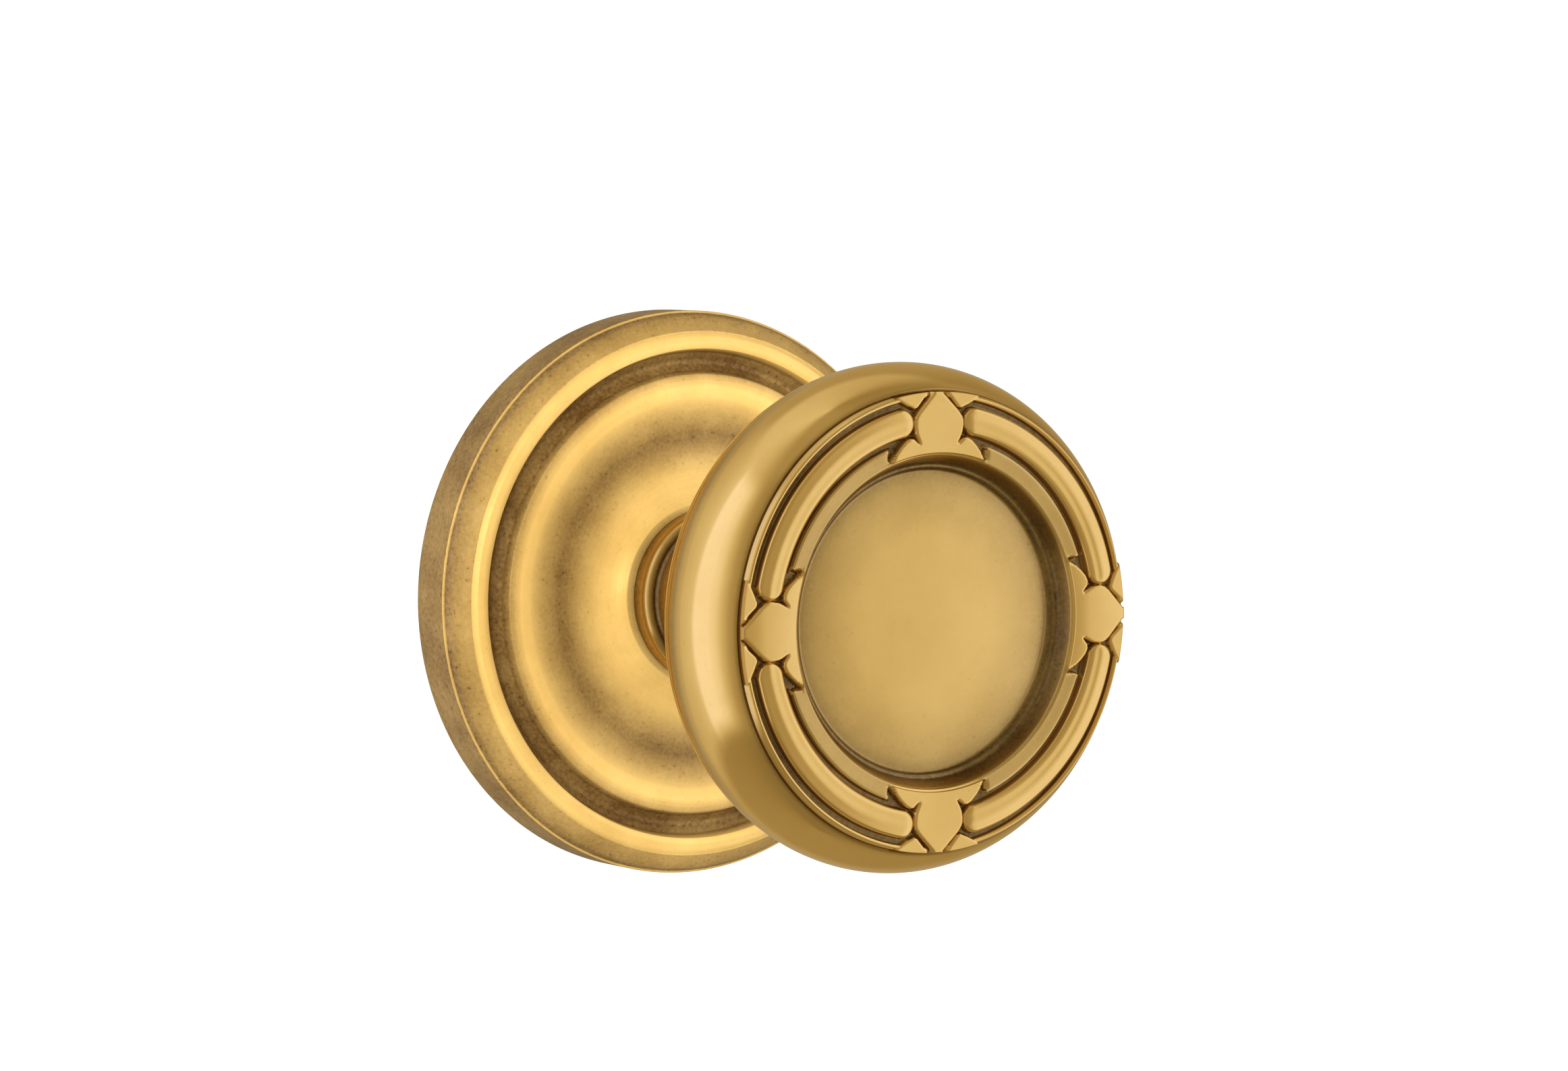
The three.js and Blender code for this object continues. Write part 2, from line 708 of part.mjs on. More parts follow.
function waveWasher() {
  const { innerRadius, outerRadius, middle, thickness, amplitude, waves } = WAVE_WASHER;
  const ring = washer(innerRadius, outerRadius, middle - thickness / 2, middle + thickness / 2, 36);
  const position = ring.attributes.position;
  for (let i = 0; i < position.count; i++) {
    const angle = Math.atan2(position.getZ(i), position.getX(i));
    position.setY(i, position.getY(i) + amplitude * Math.cos(waves * angle));
  }
  return ring;
}

function retainingRing() {
  const { innerRadius, outerRadius, front, back, gapHalfAngle, earRadius, earHole } = RETAINING_RING;
  const ring = ringBlock(innerRadius, outerRadius, 90, 180 - gapHalfAngle, back, front, 16);
  const ears = [1, -1].map((side) => {
    const angle = degrees(270 + side * (gapHalfAngle + 4));
    const radius = outerRadius + 0.2;
    return [radius * Math.cos(angle), radius * Math.sin(angle)];
  });
  const ends = ears.map(([x, z]) => bar(earRadius, back, front, x, z));
  const holes = ears.map(([x, z]) => bar(earHole, back - 1, front + 1, x, z, 8));
  return cut(join(ring, ...ends), ...holes);
}

function spindle() {
  const { half, chamfer, top, end } = SPINDLE;
  const shape = new THREE.Shape();
  for (let i = 0; i < 4; i++) {
    const turn = (Math.PI / 2) * i;
    for (const along of [-half + chamfer, half - chamfer]) {
      const corner = new THREE.Vector2(half, along).rotateAround(new THREE.Vector2(), turn);
      if (i === 0 && along < 0) shape.moveTo(corner.x, corner.y);
      else shape.lineTo(corner.x, corner.y);
    }
  }
  return slab(shape, end, top);
}

// ---------------------------------------------------------------- materials and the assembly

const FINISHES = {
  roseBrass: { color: 0xe6be6c, roughness: 0.34, metalness: 1 },
  knobBrass: { color: 0xc9a057, roughness: 0.26, metalness: 1 },
  faceBrass: { color: 0xd2ab62, roughness: 0.28, metalness: 1 },
  zincSteel: { color: 0xb9bcc0, roughness: 0.35, metalness: 1 },
  yellowZinc: { color: 0xc2b47a, roughness: 0.4, metalness: 1 },
  springSteel: { color: 0x70747a, roughness: 0.3, metalness: 1 },
  blackSteel: { color: 0x2b2b2d, roughness: 0.5, metalness: 0.8 },
  castZinc: { color: 0x9b9da1, roughness: 0.5, metalness: 0.9 },
  bronze: { color: 0x9a6b3a, roughness: 0.4, metalness: 1 },
  nylon: { color: 0xe9e4d6, roughness: 0.6, metalness: 0 },
};

function piece(name, finish, geometry) {
  const material = new THREE.MeshStandardMaterial({ ...FINISHES[finish], flatShading: true });
  const mesh = new THREE.Mesh(geometry, material);
  mesh.name = name;
  return mesh;
}

const boltZ = BOLT.spacing / 2;

const fixed = new THREE.Group();
fixed.add(
  piece("rose", "roseBrass", rose()),
  piece("rose_bushing", "nylon", roseBushing()),
  piece("rose_set_screw", "blackSteel", grubScrew(ROSE_SCREW)),
  piece("mounting_plate", "zincSteel", mountingPlate()),
  piece("through_bolt_upper", "yellowZinc", throughBolt(boltZ)),
  piece("through_bolt_lower", "yellowZinc", throughBolt(-boltZ)),
  piece("bolt_washer_upper", "zincSteel", boltWasher(boltZ)),
  piece("bolt_washer_lower", "zincSteel", boltWasher(-boltZ)),
  piece("cassette_housing", "castZinc", cassetteHousing()),
  piece("cassette_cover", "zincSteel", cassetteCover()),
  piece("cassette_rivet_right", "zincSteel", cassetteRivet(RIVET.offset)),
  piece("cassette_rivet_left", "zincSteel", cassetteRivet(-RIVET.offset)),
  piece("return_spring", "springSteel", returnSpring()),
);

const turning = new THREE.Group();
turning.add(
  piece("knob_shell", "knobBrass", knobShell()),
  piece("knob_face", "faceBrass", knobFace()),
  piece("knob_shank", "knobBrass", knobShank()),
  piece("knob_set_screw", "blackSteel", grubScrew(KNOB_SCREW)),
  piece("spindle", "zincSteel", spindle()),
  piece("spring_driver", "springSteel", springDriver()),
  piece(
    "thrust_washer",
    "bronze",
    washer(THRUST_WASHER.innerRadius, THRUST_WASHER.outerRadius, THRUST_WASHER.back, THRUST_WASHER.front),
  ),
  piece("wave_washer", "springSteel", waveWasher()),
  piece("retaining_ring", "blackSteel", retainingRing()),
);

const doorKnob = new THREE.Group();
doorKnob.add(fixed, turning);

export default doorKnob;
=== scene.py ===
"""Looks of the round door knob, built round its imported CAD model.

Metres, in the CAD model's frame: the knob's axis is Y, the door's face is y = 0 and the knob stands out
towards -Y. Outlines of turned pieces are lists of (r, h) in millimetres, where r is the distance from the
axis and h = -y is the height above the door's face, so h is negative inside the door.
"""

import json
import math

import bmesh
import bpy
import numpy as np
from mathutils import Matrix, Vector


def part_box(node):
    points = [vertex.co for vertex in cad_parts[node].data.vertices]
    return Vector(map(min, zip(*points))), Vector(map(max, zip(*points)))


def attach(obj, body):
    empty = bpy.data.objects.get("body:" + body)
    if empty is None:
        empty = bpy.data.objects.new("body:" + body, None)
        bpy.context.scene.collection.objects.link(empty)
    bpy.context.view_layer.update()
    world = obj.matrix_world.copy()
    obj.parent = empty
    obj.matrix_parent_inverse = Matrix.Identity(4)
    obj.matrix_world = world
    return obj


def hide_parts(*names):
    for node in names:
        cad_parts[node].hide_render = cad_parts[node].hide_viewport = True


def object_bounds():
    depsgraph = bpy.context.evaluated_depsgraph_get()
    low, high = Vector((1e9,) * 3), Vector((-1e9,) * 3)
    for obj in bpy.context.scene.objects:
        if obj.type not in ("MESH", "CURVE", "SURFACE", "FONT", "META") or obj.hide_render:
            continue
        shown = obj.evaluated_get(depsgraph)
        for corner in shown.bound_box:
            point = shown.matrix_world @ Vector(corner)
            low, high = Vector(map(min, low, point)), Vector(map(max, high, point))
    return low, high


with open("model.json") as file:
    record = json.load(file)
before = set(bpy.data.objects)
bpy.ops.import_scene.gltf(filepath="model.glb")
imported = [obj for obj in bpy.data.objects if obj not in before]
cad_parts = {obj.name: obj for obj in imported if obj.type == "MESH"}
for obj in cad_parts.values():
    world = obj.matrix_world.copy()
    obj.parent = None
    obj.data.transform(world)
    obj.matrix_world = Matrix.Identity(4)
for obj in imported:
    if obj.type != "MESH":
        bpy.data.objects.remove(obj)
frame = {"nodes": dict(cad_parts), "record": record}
cad_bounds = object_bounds()

MM = 0.001
FIXED = "rose_assembly"
TURNING = "knob"


# ------------------------------------------------------------------ camera, light and floor

CAMERA_AZIMUTH = -33.16  # degrees, from straight in front of the knob towards its left
CAMERA_ELEVATION = 3.81
CAMERA_DISTANCE = 0.6
CAMERA_AIM = Vector((0.0016, -0.0240, 0.0077))
CAMERA_LENS = 119.3  # millimetres, on a sensor 36 mm wide

# The studio round the knob: how bright it is in each direction, as (azimuth in degrees from straight in
# front, brightness), level with the knob, overhead and underneath. A large panel stands on the left and
# another on the right in front.
LEVEL = [
    (-180, 0.50),
    (-166, 0.62),
    (-140, 0.76),
    (-127, 0.86),
    (-122, 1.16),
    (-100, 1.12),
    (-88, 0.98),
    (-78, 0.72),
    (-66, 0.45),
    (-56, 0.36),
    (-18, 0.37),
    (16, 0.42),
    (27, 0.56),
    (30.5, 0.76),
    (34, 0.80),
    (38, 0.86),
    (46, 0.96),
    (64, 1.00),
    (80, 0.55),
    (110, 0.36),
    (140, 0.46),
    (180, 0.50),
]
OVERHEAD = [
    (-180, 0.76),
    (-130, 0.82),
    (-100, 0.74),
    (-60, 0.44),
    (0, 0.42),
    (50, 0.36),
    (95, 0.34),
    (125, 0.60),
    (180, 0.76),
]
UNDERNEATH = [
    (-180, 0.40),
    (-135, 0.38),
    (-95, 0.34),
    (-55, 0.25),
    (0, 0.26),
    (60, 0.30),
    (110, 0.38),
    (180, 0.40),
]
LEVEL_TOP = (46, 56)  # degrees of elevation where the level light gives way to the overhead light
LEVEL_BOTTOM = (-46, -34)
STUDIO_MOST = 1.5  # the brightness that white stands for in the ramps
# The tint of the light where the studio is dark, middling and bright: brown cards, warm and cool panels.
TINTS = [(0.33, (1.0, 0.84, 0.50)), (0.80, (1.0, 0.99, 0.92)), (1.17, (1.0, 1.06, 1.45))]


def add_camera():
    azimuth = math.radians(CAMERA_AZIMUTH)
    elevation = math.radians(CAMERA_ELEVATION)
    level = math.cos(elevation)
    back = Vector((math.sin(azimuth) * level, -math.cos(azimuth) * level, math.sin(elevation)))
    camera = bpy.data.objects.new("camera", bpy.data.cameras.new("camera"))
    camera.data.lens = CAMERA_LENS
    camera.data.sensor_width = 36
    camera.location = CAMERA_AIM + CAMERA_DISTANCE * back
    camera.rotation_euler = back.to_track_quat("Z", "Y").to_euler()
    bpy.context.scene.collection.objects.link(camera)
    bpy.context.scene.camera = camera


class Nodes:
    """A node tree, with short calls that add and join nodes."""

    def __init__(self, tree):
        self.tree = tree
        tree.nodes.clear()

    def add(self, kind, inputs=(), **settings):
        node = self.tree.nodes.new(kind)
        for key, value in settings.items():
            setattr(node, key, value)
        for key, value in dict(inputs).items():
            self.plug(node, key, value)
        return node

    def plug(self, node, key, value):
        socket = node.inputs[key]
        if isinstance(value, bpy.types.NodeSocket):
            self.tree.links.new(value, socket)
        else:
            socket.default_value = value

    def math(self, operation, a, b=0.0, c=0.0, clamp=False):
        inputs = {0: a, 1: b, 2: c}
        return self.add("ShaderNodeMath", inputs, operation=operation, use_clamp=clamp).outputs[0]

    def span(self, value, low, high, to=1.0, smooth=False):
        """0 where the value is low, rising to a limit where it is high."""
        inputs = {"Value": value, "From Min": low, "From Max": high, "To Max": to}
        kind = "SMOOTHSTEP" if smooth else "LINEAR"
        return self.add("ShaderNodeMapRange", inputs, interpolation_type=kind).outputs[0]

    def place(self, output="Object"):
        return self.add("ShaderNodeTexCoord").outputs[output]

    def mix(self, share, a, b):
        node = self.add("ShaderNodeMix", {"Factor": share}, data_type="RGBA")
        self.plug(node, 6, a)
        self.plug(node, 7, b)
        return node.outputs[2]

    def ramp(self, value, stops):
        """A colour ramp. stops are (position, grey level) or (position, (r, g, b))."""
        node = self.add("ShaderNodeValToRGB", {"Fac": value})
        elements = node.color_ramp.elements
        while len(elements) < len(stops):
            elements.new(0.5)
        for element, (position, level) in zip(elements, stops, strict=True):
            element.position = position
            element.color = (*level, 1) if isinstance(level, tuple) else (level, level, level, 1)
        return node.outputs["Color"]

    def noise(self, vector, scale, detail=3.0, roughness=0.55):
        inputs = {"Vector": vector, "Scale": scale, "Detail": detail, "Roughness": roughness}
        return self.add("ShaderNodeTexNoise", inputs).outputs[0]


def add_studio():
    """A world of soft panels round the knob, white where the camera looks straight at it."""
    world = bpy.data.worlds.new("studio")
    bpy.context.scene.world = world
    world.use_nodes = True
    nodes = Nodes(world.node_tree)
    axes = nodes.add("ShaderNodeSeparateXYZ", {"Vector": nodes.place("Generated")}).outputs
    azimuth = nodes.math("ARCTAN2", axes["X"], nodes.math("MULTIPLY", axes["Y"], -1.0))
    turn = nodes.math("MULTIPLY_ADD", azimuth, 0.5 / math.pi, 0.5)
    elevation = nodes.math("ARCSINE", axes["Z"])

    def band(stops):
        return nodes.ramp(turn, [((angle + 180) / 360, level / STUDIO_MOST) for angle, level in stops])

    def share(limits):
        low, high = (math.radians(limit) for limit in limits)
        return nodes.span(elevation, low, high, smooth=True)

    low_and_level = nodes.mix(share(LEVEL_BOTTOM), band(UNDERNEATH), band(LEVEL))
    brightness = nodes.mix(share(LEVEL_TOP), low_and_level, band(OVERHEAD))
    strongest = max(max(tint) for _, tint in TINTS)
    tint = nodes.ramp(
        brightness, [(level / STUDIO_MOST, tuple(c / strongest for c in tint)) for level, tint in TINTS]
    )
    colour = nodes.add("ShaderNodeVectorMath", {0: tint, 1: brightness}, operation="MULTIPLY").outputs[0]
    panels = nodes.add("ShaderNodeBackground", {"Color": colour, "Strength": STUDIO_MOST * strongest})
    white = nodes.add("ShaderNodeBackground", {"Color": (1, 1, 1, 1), "Strength": 1.0})
    seen = nodes.add("ShaderNodeLightPath").outputs["Is Camera Ray"]
    both = nodes.add("ShaderNodeMixShader", {0: seen, 1: panels.outputs[0], 2: white.outputs[0]})
    nodes.add("ShaderNodeOutputWorld", {"Surface": both.outputs[0]})


def add_floor():
    """A plain pale floor that curves up into a backdrop behind the knob."""
    low = cad_bounds[0][2] - 0.03
    side, reach, bend, top = 4.0, 1.6, 0.6, 2.4
    route = [(-side, 0.0), (reach, 0.0)]
    route += [
        (reach + bend * math.sin(a), bend - bend * math.cos(a))
        for a in np.linspace(0, math.pi / 2, 25)[1:]
    ]
    route.append((reach + bend, top))
    vertices = [(x, y, low + up) for y, up in route for x in (-side, side)]
    faces = [(2 * i, 2 * i + 1, 2 * i + 3, 2 * i + 2) for i in range(len(route) - 1)]
    mesh = bpy.data.meshes.new("floor")
    mesh.from_pydata(vertices, [], faces)
    mesh.polygons.foreach_set("use_smooth", [True] * len(faces))
    floor = bpy.data.objects.new("floor", mesh)
    bpy.context.scene.collection.objects.link(floor)
    material = bpy.data.materials.new("floor_paint")
    material.use_nodes = True
    nodes = Nodes(material.node_tree)
    grain = nodes.noise(nodes.place(), 3.0)
    paint = nodes.mix(grain, (0.36, 0.36, 0.37, 1), (0.40, 0.40, 0.41, 1))
    glow = nodes.add("ShaderNodeEmission", {"Color": (1, 1, 1, 1), "Strength": 0.78})
    matt = nodes.add("ShaderNodeBsdfDiffuse", {"Color": paint})
    both = nodes.add("ShaderNodeAddShader", {0: glow.outputs[0], 1: matt.outputs[0]})
    nodes.add("ShaderNodeOutputMaterial", {"Surface": both.outputs[0]})
    mesh.materials.append(material)
    floor.visible_glossy = False


def add_lights():
    """Soft lamps that light what isn't metal."""
    for name, place, size, power in (
        ("lamp_left", (-1.2, -1.4, 0.2), 1.2, 74),
        ("lamp_right", (1.0, -1.7, 0.2), 1.2, 28),
    ):
        lamp = bpy.data.lights.new(name, "AREA")
        lamp.size = size
        lamp.energy = power
        obj = bpy.data.objects.new(name, lamp)
        obj.location = place
        obj.rotation_euler = Vector(place).to_track_quat("Z", "Y").to_euler()
        obj.visible_glossy = False
        obj.visible_camera = False
        bpy.context.scene.collection.objects.link(obj)


# ------------------------------------------------------------------ mesh helpers


def new_object(name, vertices, faces):
    """An object from vertices in metres and faces, with its normals facing out."""
    mesh = bpy.data.meshes.new(name)
    mesh.from_pydata(np.asarray(vertices).tolist(), [], faces)
    obj = bpy.data.objects.new(name, mesh)
    bpy.context.scene.collection.objects.link(obj)
    work = bmesh.new()
    work.from_mesh(mesh)
    bmesh.ops.remove_doubles(work, verts=work.verts, dist=1e-7)
    bmesh.ops.recalc_face_normals(work, faces=work.faces)
    work.to_mesh(mesh)
    work.free()
    return obj


def smooth(obj, angle=32):
    """Smooth shading, with edges sharper than the angle kept crisp."""
    mesh = obj.data
    mesh.polygons.foreach_set("use_smooth", [True] * len(mesh.polygons))
    mesh.set_sharp_from_angle(angle=math.radians(angle))
    return obj


def revolve(name, outline, segments=192, shape=None):
    """A piece turned round the knob's axis. The outline closes on itself, or its ends lie on the axis.

    shape, if given, is a function of (r, h, angle) that gives the radius to use instead of r.
    """
    outline = np.asarray(outline, float)
    rows = len(outline)
    angle = np.arange(segments) * 2 * math.pi / segments
    r = np.repeat(outline[:, :1], segments, axis=1)
    h = np.repeat(outline[:, 1:], segments, axis=1)
    if shape:
        r = shape(r, h, angle)
    vertices = np.stack([r * np.cos(angle), -h, r * np.sin(angle)], axis=-1).reshape(-1, 3) * MM
    on_axis = outline[0, 0] == 0 and outline[-1, 0] == 0
    faces = []
    for i in range(rows - 1 if on_axis else rows):
        a, b = i * segments, (i + 1) % rows * segments
        for j in range(segments):
            k = (j + 1) % segments
            faces.append((a + j, a + k, b + k, b + j))
    return new_object(name, vertices, faces)


def rounded(corners, step=0.12):
    """An outline through corners (r, h, fillet radius), each corner rounded by its fillet."""
    points = []
    for i, (r, h, fillet) in enumerate(corners):
        here = np.array((r, h))
        if fillet == 0:
            points.append(here)
            continue
        to_last = np.subtract(corners[i - 1][:2], here)
        to_next = np.subtract(corners[(i + 1) % len(corners)][:2], here)
        to_last, to_next = to_last / np.linalg.norm(to_last), to_next / np.linalg.norm(to_next)
        half = math.acos(float(np.clip(to_last @ to_next, -1, 1))) / 2
        inward = (to_last + to_next) / np.linalg.norm(to_last + to_next)
        centre = here + inward * fillet / math.sin(half)
        start = here + to_last * fillet / math.tan(half) - centre
        end = here + to_next * fillet / math.tan(half) - centre
        first = math.atan2(start[1], start[0])
        sweep = (math.atan2(end[1], end[0]) - first + math.pi) % (2 * math.pi) - math.pi
        pieces = 2 + int(abs(sweep) * fillet / step)
        for angle in first + sweep * np.linspace(0, 1, pieces + 1):
            points.append(centre + fillet * np.array((math.cos(angle), math.sin(angle))))
    return np.array(points)


def arc(centre_r, centre_h, radius, start, end, pieces, rise=None):
    """Points on an arc, with angles in degrees from the outward direction. rise makes it elliptical."""
    angles = np.radians(np.linspace(start, end, pieces + 1))
    rise = rise or radius
    return [(centre_r + radius * math.cos(a), centre_h + rise * math.sin(a)) for a in angles]


def sweep_curve(start, control, end, pieces):
    """Points on a quadratic curve from start to end."""
    start, control, end = (np.array(p, float) for p in (start, control, end))
    shares = np.linspace(0, 1, pieces + 1)[:, None]
    return ((1 - shares) ** 2 * start + 2 * shares * (1 - shares) * control + shares**2 * end).tolist()


def carve(piece, *cutters):
    """Cuts each cutter out of the piece, and removes the cutter."""
    for cutter in cutters:
        modifier = piece.modifiers.new("carve", "BOOLEAN")
        modifier.operation = "DIFFERENCE"
        modifier.solver = "EXACT"
        modifier.object = cutter
        shape = piece.evaluated_get(bpy.context.evaluated_depsgraph_get())
        mesh = bpy.data.meshes.new_from_object(shape)
        piece.modifiers.clear()
        piece.data = mesh
        bpy.data.objects.remove(cutter)
    return piece


def shift(piece, x, z):
    """Moves a turned piece sideways, in millimetres."""
    piece.data.transform(Matrix.Translation((x * MM, 0, z * MM)))
    return piece


def bar(radius, low, high, x=0.0, z=0.0, segments=32):
    """A round bar along the knob's axis, used as a cutter, in millimetres."""
    return shift(revolve("cutter", [(0, high), (radius, high), (radius, low), (0, low)], segments), x, z)


def stand_up(piece, height):
    """Turns a piece made along the knob's axis so that its front end points down, at a height."""
    piece.data.transform(Matrix.Rotation(math.pi / 2, 4, "X"))
    piece.data.transform(Matrix.Translation((0, -height * MM, 0)))
    return piece


def block(width, depth, height, middle):
    """A box in millimetres, used as a cutter, from its sizes along X, Y and Z and its middle."""
    corner = [(x, y, z) for x in (-0.5, 0.5) for y in (-0.5, 0.5) for z in (-0.5, 0.5)]
    vertices = [np.array(c) * (width, depth, height) * MM + np.array(middle) * MM for c in corner]
    faces = [(0, 1, 3, 2), (4, 6, 7, 5), (0, 4, 5, 1), (2, 3, 7, 6), (0, 2, 6, 4), (1, 5, 7, 3)]
    return new_object("cutter", vertices, faces)


def positions(obj):
    """Each vertex's r, h and angle round the axis, in millimetres and radians."""
    co = np.empty(len(obj.data.vertices) * 3)
    obj.data.vertices.foreach_get("co", co)
    x, y, z = co.reshape(-1, 3).T / MM
    return np.hypot(x, z), -y, np.arctan2(z, x)


def paint_patina_and_shade(obj, darkness):
    """Stores how dark the brown colour is at each vertex. The brown stands for patina and for painted shade.
    darkness is a function of (r, h, angle).
    """
    r, h, angle = positions(obj)
    value = np.clip(darkness(r, h, angle) + np.zeros_like(r), 0, 1)
    layer = obj.data.attributes.new("patina_and_shade", "FLOAT", "POINT")
    layer.data.foreach_set("value", value.astype(np.float32))
    return obj


# ------------------------------------------------------------------ materials

EDGE_TINT = (1.0, 0.88, 0.62)  # the colour of brass seen at a glancing angle


def brass(name, clean, deep, patina_and_shade, metallic, gloss, coat, mottle, marks):
    """Lacquered antique brass: clean metal with cloudy darker areas, and a brown colour where the vertex
    attribute is painted, standing for patina and for painted shade.

    metallic is how much of the clean finish shines as metal, gloss its roughness, coat the weight and
    roughness of the lacquer, mottle the strength of the clouds, and marks the strength of the fine turning
    marks round the axis.
    """
    material = bpy.data.materials.new(name)
    material.use_nodes = True
    nodes = Nodes(material.node_tree)
    place = nodes.place()
    # The painted vertex darkness: brown patina and painted shade.
    dark = nodes.add("ShaderNodeAttribute", attribute_name="patina_and_shade").outputs["Fac"]
    clouds = nodes.noise(place, 120.0, 5.0, 0.62)
    specks = nodes.noise(place, 2300.0, 2.0, 0.6)
    axes = nodes.add("ShaderNodeSeparateXYZ", {"Vector": place}).outputs
    flat = nodes.add("ShaderNodeCombineXYZ", {"X": axes["X"], "Y": axes["Z"]}).outputs[0]
    radius = nodes.add("ShaderNodeVectorMath", {0: flat}, operation="LENGTH").outputs["Value"]
    track = nodes.add("ShaderNodeCombineXYZ", {"X": radius, "Y": axes["Y"]}).outputs[0]
    turning = nodes.noise(track, 3800.0, 3.0, 0.6)

    cloudy = nodes.span(clouds, 0.38, 0.68, to=mottle)
    streaky = nodes.span(turning, 0.45, 0.75, to=marks * 0.5)
    metal = nodes.mix(nodes.math("ADD", cloudy, streaky, clamp=True), (*clean, 1), (*deep, 1))
    uneven = nodes.math("MULTIPLY_ADD", specks, 0.35, nodes.math("MULTIPLY_ADD", clouds, 0.5, 0.575))
    painted = nodes.math("MULTIPLY", dark, uneven, clamp=True)
    speckled = nodes.span(specks, 0.66, 0.82, to=mottle * 0.5)
    share = nodes.math("ADD", painted, speckled, clamp=True)
    colour = nodes.mix(share, metal, (*patina_and_shade, 1))
    rough = nodes.math("MULTIPLY_ADD", share, 0.22, nodes.math("MULTIPLY_ADD", clouds, 0.06, gloss - 0.03))
    relief = nodes.math("MULTIPLY_ADD", turning, marks, nodes.math("MULTIPLY", specks, 0.35 * mottle))
    bump = nodes.add("ShaderNodeBump", {"Strength": 0.2, "Distance": 0.00002, "Height": relief}).outputs[0]
    look = {
        "Base Color": colour,
        "Metallic": metallic,
        "Roughness": rough,
        "Normal": bump,
        "Coat Weight": coat[0],
        "Coat Roughness": coat[1],
        "Coat IOR": 1.5,
        "Specular Tint": (*EDGE_TINT, 1),
    }
    shader = nodes.add("ShaderNodeBsdfPrincipled", look)
    nodes.add("ShaderNodeOutputMaterial", {"Surface": shader.outputs[0]})
    return material


def plain_finish(name, light, dark, gloss, grain_scale=900.0, grain=0.06, metallic=1.0):
    """Steel, zinc, bronze or nylon: a plain surface with darker clouds and a fine grain."""
    material = bpy.data.materials.new(name)
    material.use_nodes = True
    nodes = Nodes(material.node_tree)
    place = nodes.place()
    clouds = nodes.noise(place, 160.0, 4.0)
    fine = nodes.noise(place, grain_scale, 3.0)
    share = nodes.math("MULTIPLY_ADD", fine, 0.4, nodes.math("SUBTRACT", clouds, 0.2), clamp=True)
    colour = nodes.mix(share, (*light, 1), (*dark, 1))
    rough = nodes.math("MULTIPLY_ADD", fine, grain * 3, gloss)
    bump = nodes.add("ShaderNodeBump", {"Strength": 0.3, "Distance": 0.00003, "Height": fine}).outputs[0]
    shader = nodes.add(
        "ShaderNodeBsdfPrincipled",
        {"Base Color": colour, "Metallic": metallic, "Roughness": rough, "Normal": bump},
    )
    nodes.add("ShaderNodeOutputMaterial", {"Surface": shader.outputs[0]})
    return material


ROSE_BRASS = brass(
    "rose_brass",
    clean=(0.95, 0.63, 0.19),
    deep=(0.78, 0.48, 0.12),
    patina_and_shade=(0.098, 0.044, 0.010),
    metallic=0.35,
    gloss=0.34,
    coat=(0.25, 0.2),
    mottle=0.58,
    marks=0.5,
)
KNOB_BRASS = brass(
    "knob_brass",
    clean=(0.84, 0.55, 0.175),
    deep=(0.72, 0.44, 0.12),
    patina_and_shade=(0.105, 0.058, 0.020),
    metallic=0.97,
    gloss=0.11,
    coat=(0.3, 0.07),
    mottle=0.36,
    marks=0.12,
)
ZINC_STEEL = plain_finish("zinc_steel", (0.72, 0.73, 0.75), (0.50, 0.51, 0.54), 0.28)
YELLOW_ZINC = plain_finish("yellow_zinc_steel", (0.75, 0.66, 0.38), (0.55, 0.42, 0.26), 0.30, 500.0)
SPRING_STEEL = plain_finish("spring_steel", (0.36, 0.37, 0.40), (0.20, 0.20, 0.22), 0.25)
BLACK_STEEL = plain_finish("black_steel", (0.065, 0.065, 0.07), (0.02, 0.02, 0.025), 0.38, 1400.0)
CAST_ZINC = plain_finish("cast_zinc", (0.46, 0.47, 0.48), (0.30, 0.31, 0.32), 0.45, 1500.0, 0.09)
BRONZE = plain_finish("bronze", (0.55, 0.34, 0.16), (0.34, 0.19, 0.09), 0.32, 700.0)
NYLON = plain_finish("nylon", (0.80, 0.78, 0.70), (0.68, 0.66, 0.57), 0.50, 400.0, 0.04, metallic=0.0)

SLOTS = {part["node"]: part["material_slot"] for part in frame["record"]["subparts"]}
rebuilt = set()  # the CAD nodes that a finer piece stands for


def finish_piece(obj, material, body, node):
    """Gives a piece its material, makes it ride on its body and stand for its CAD node."""
    obj.data.materials.clear()
    obj.data.materials.append(material)
    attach(obj, body)
    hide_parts(node)
    rebuilt.add(node)
    return obj


# ------------------------------------------------------------------ the rose

ROSE_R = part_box("rose")[1].x / MM
ROSE_HOLE = 1.6
ROSE_SCREW_HEIGHT = 2.7


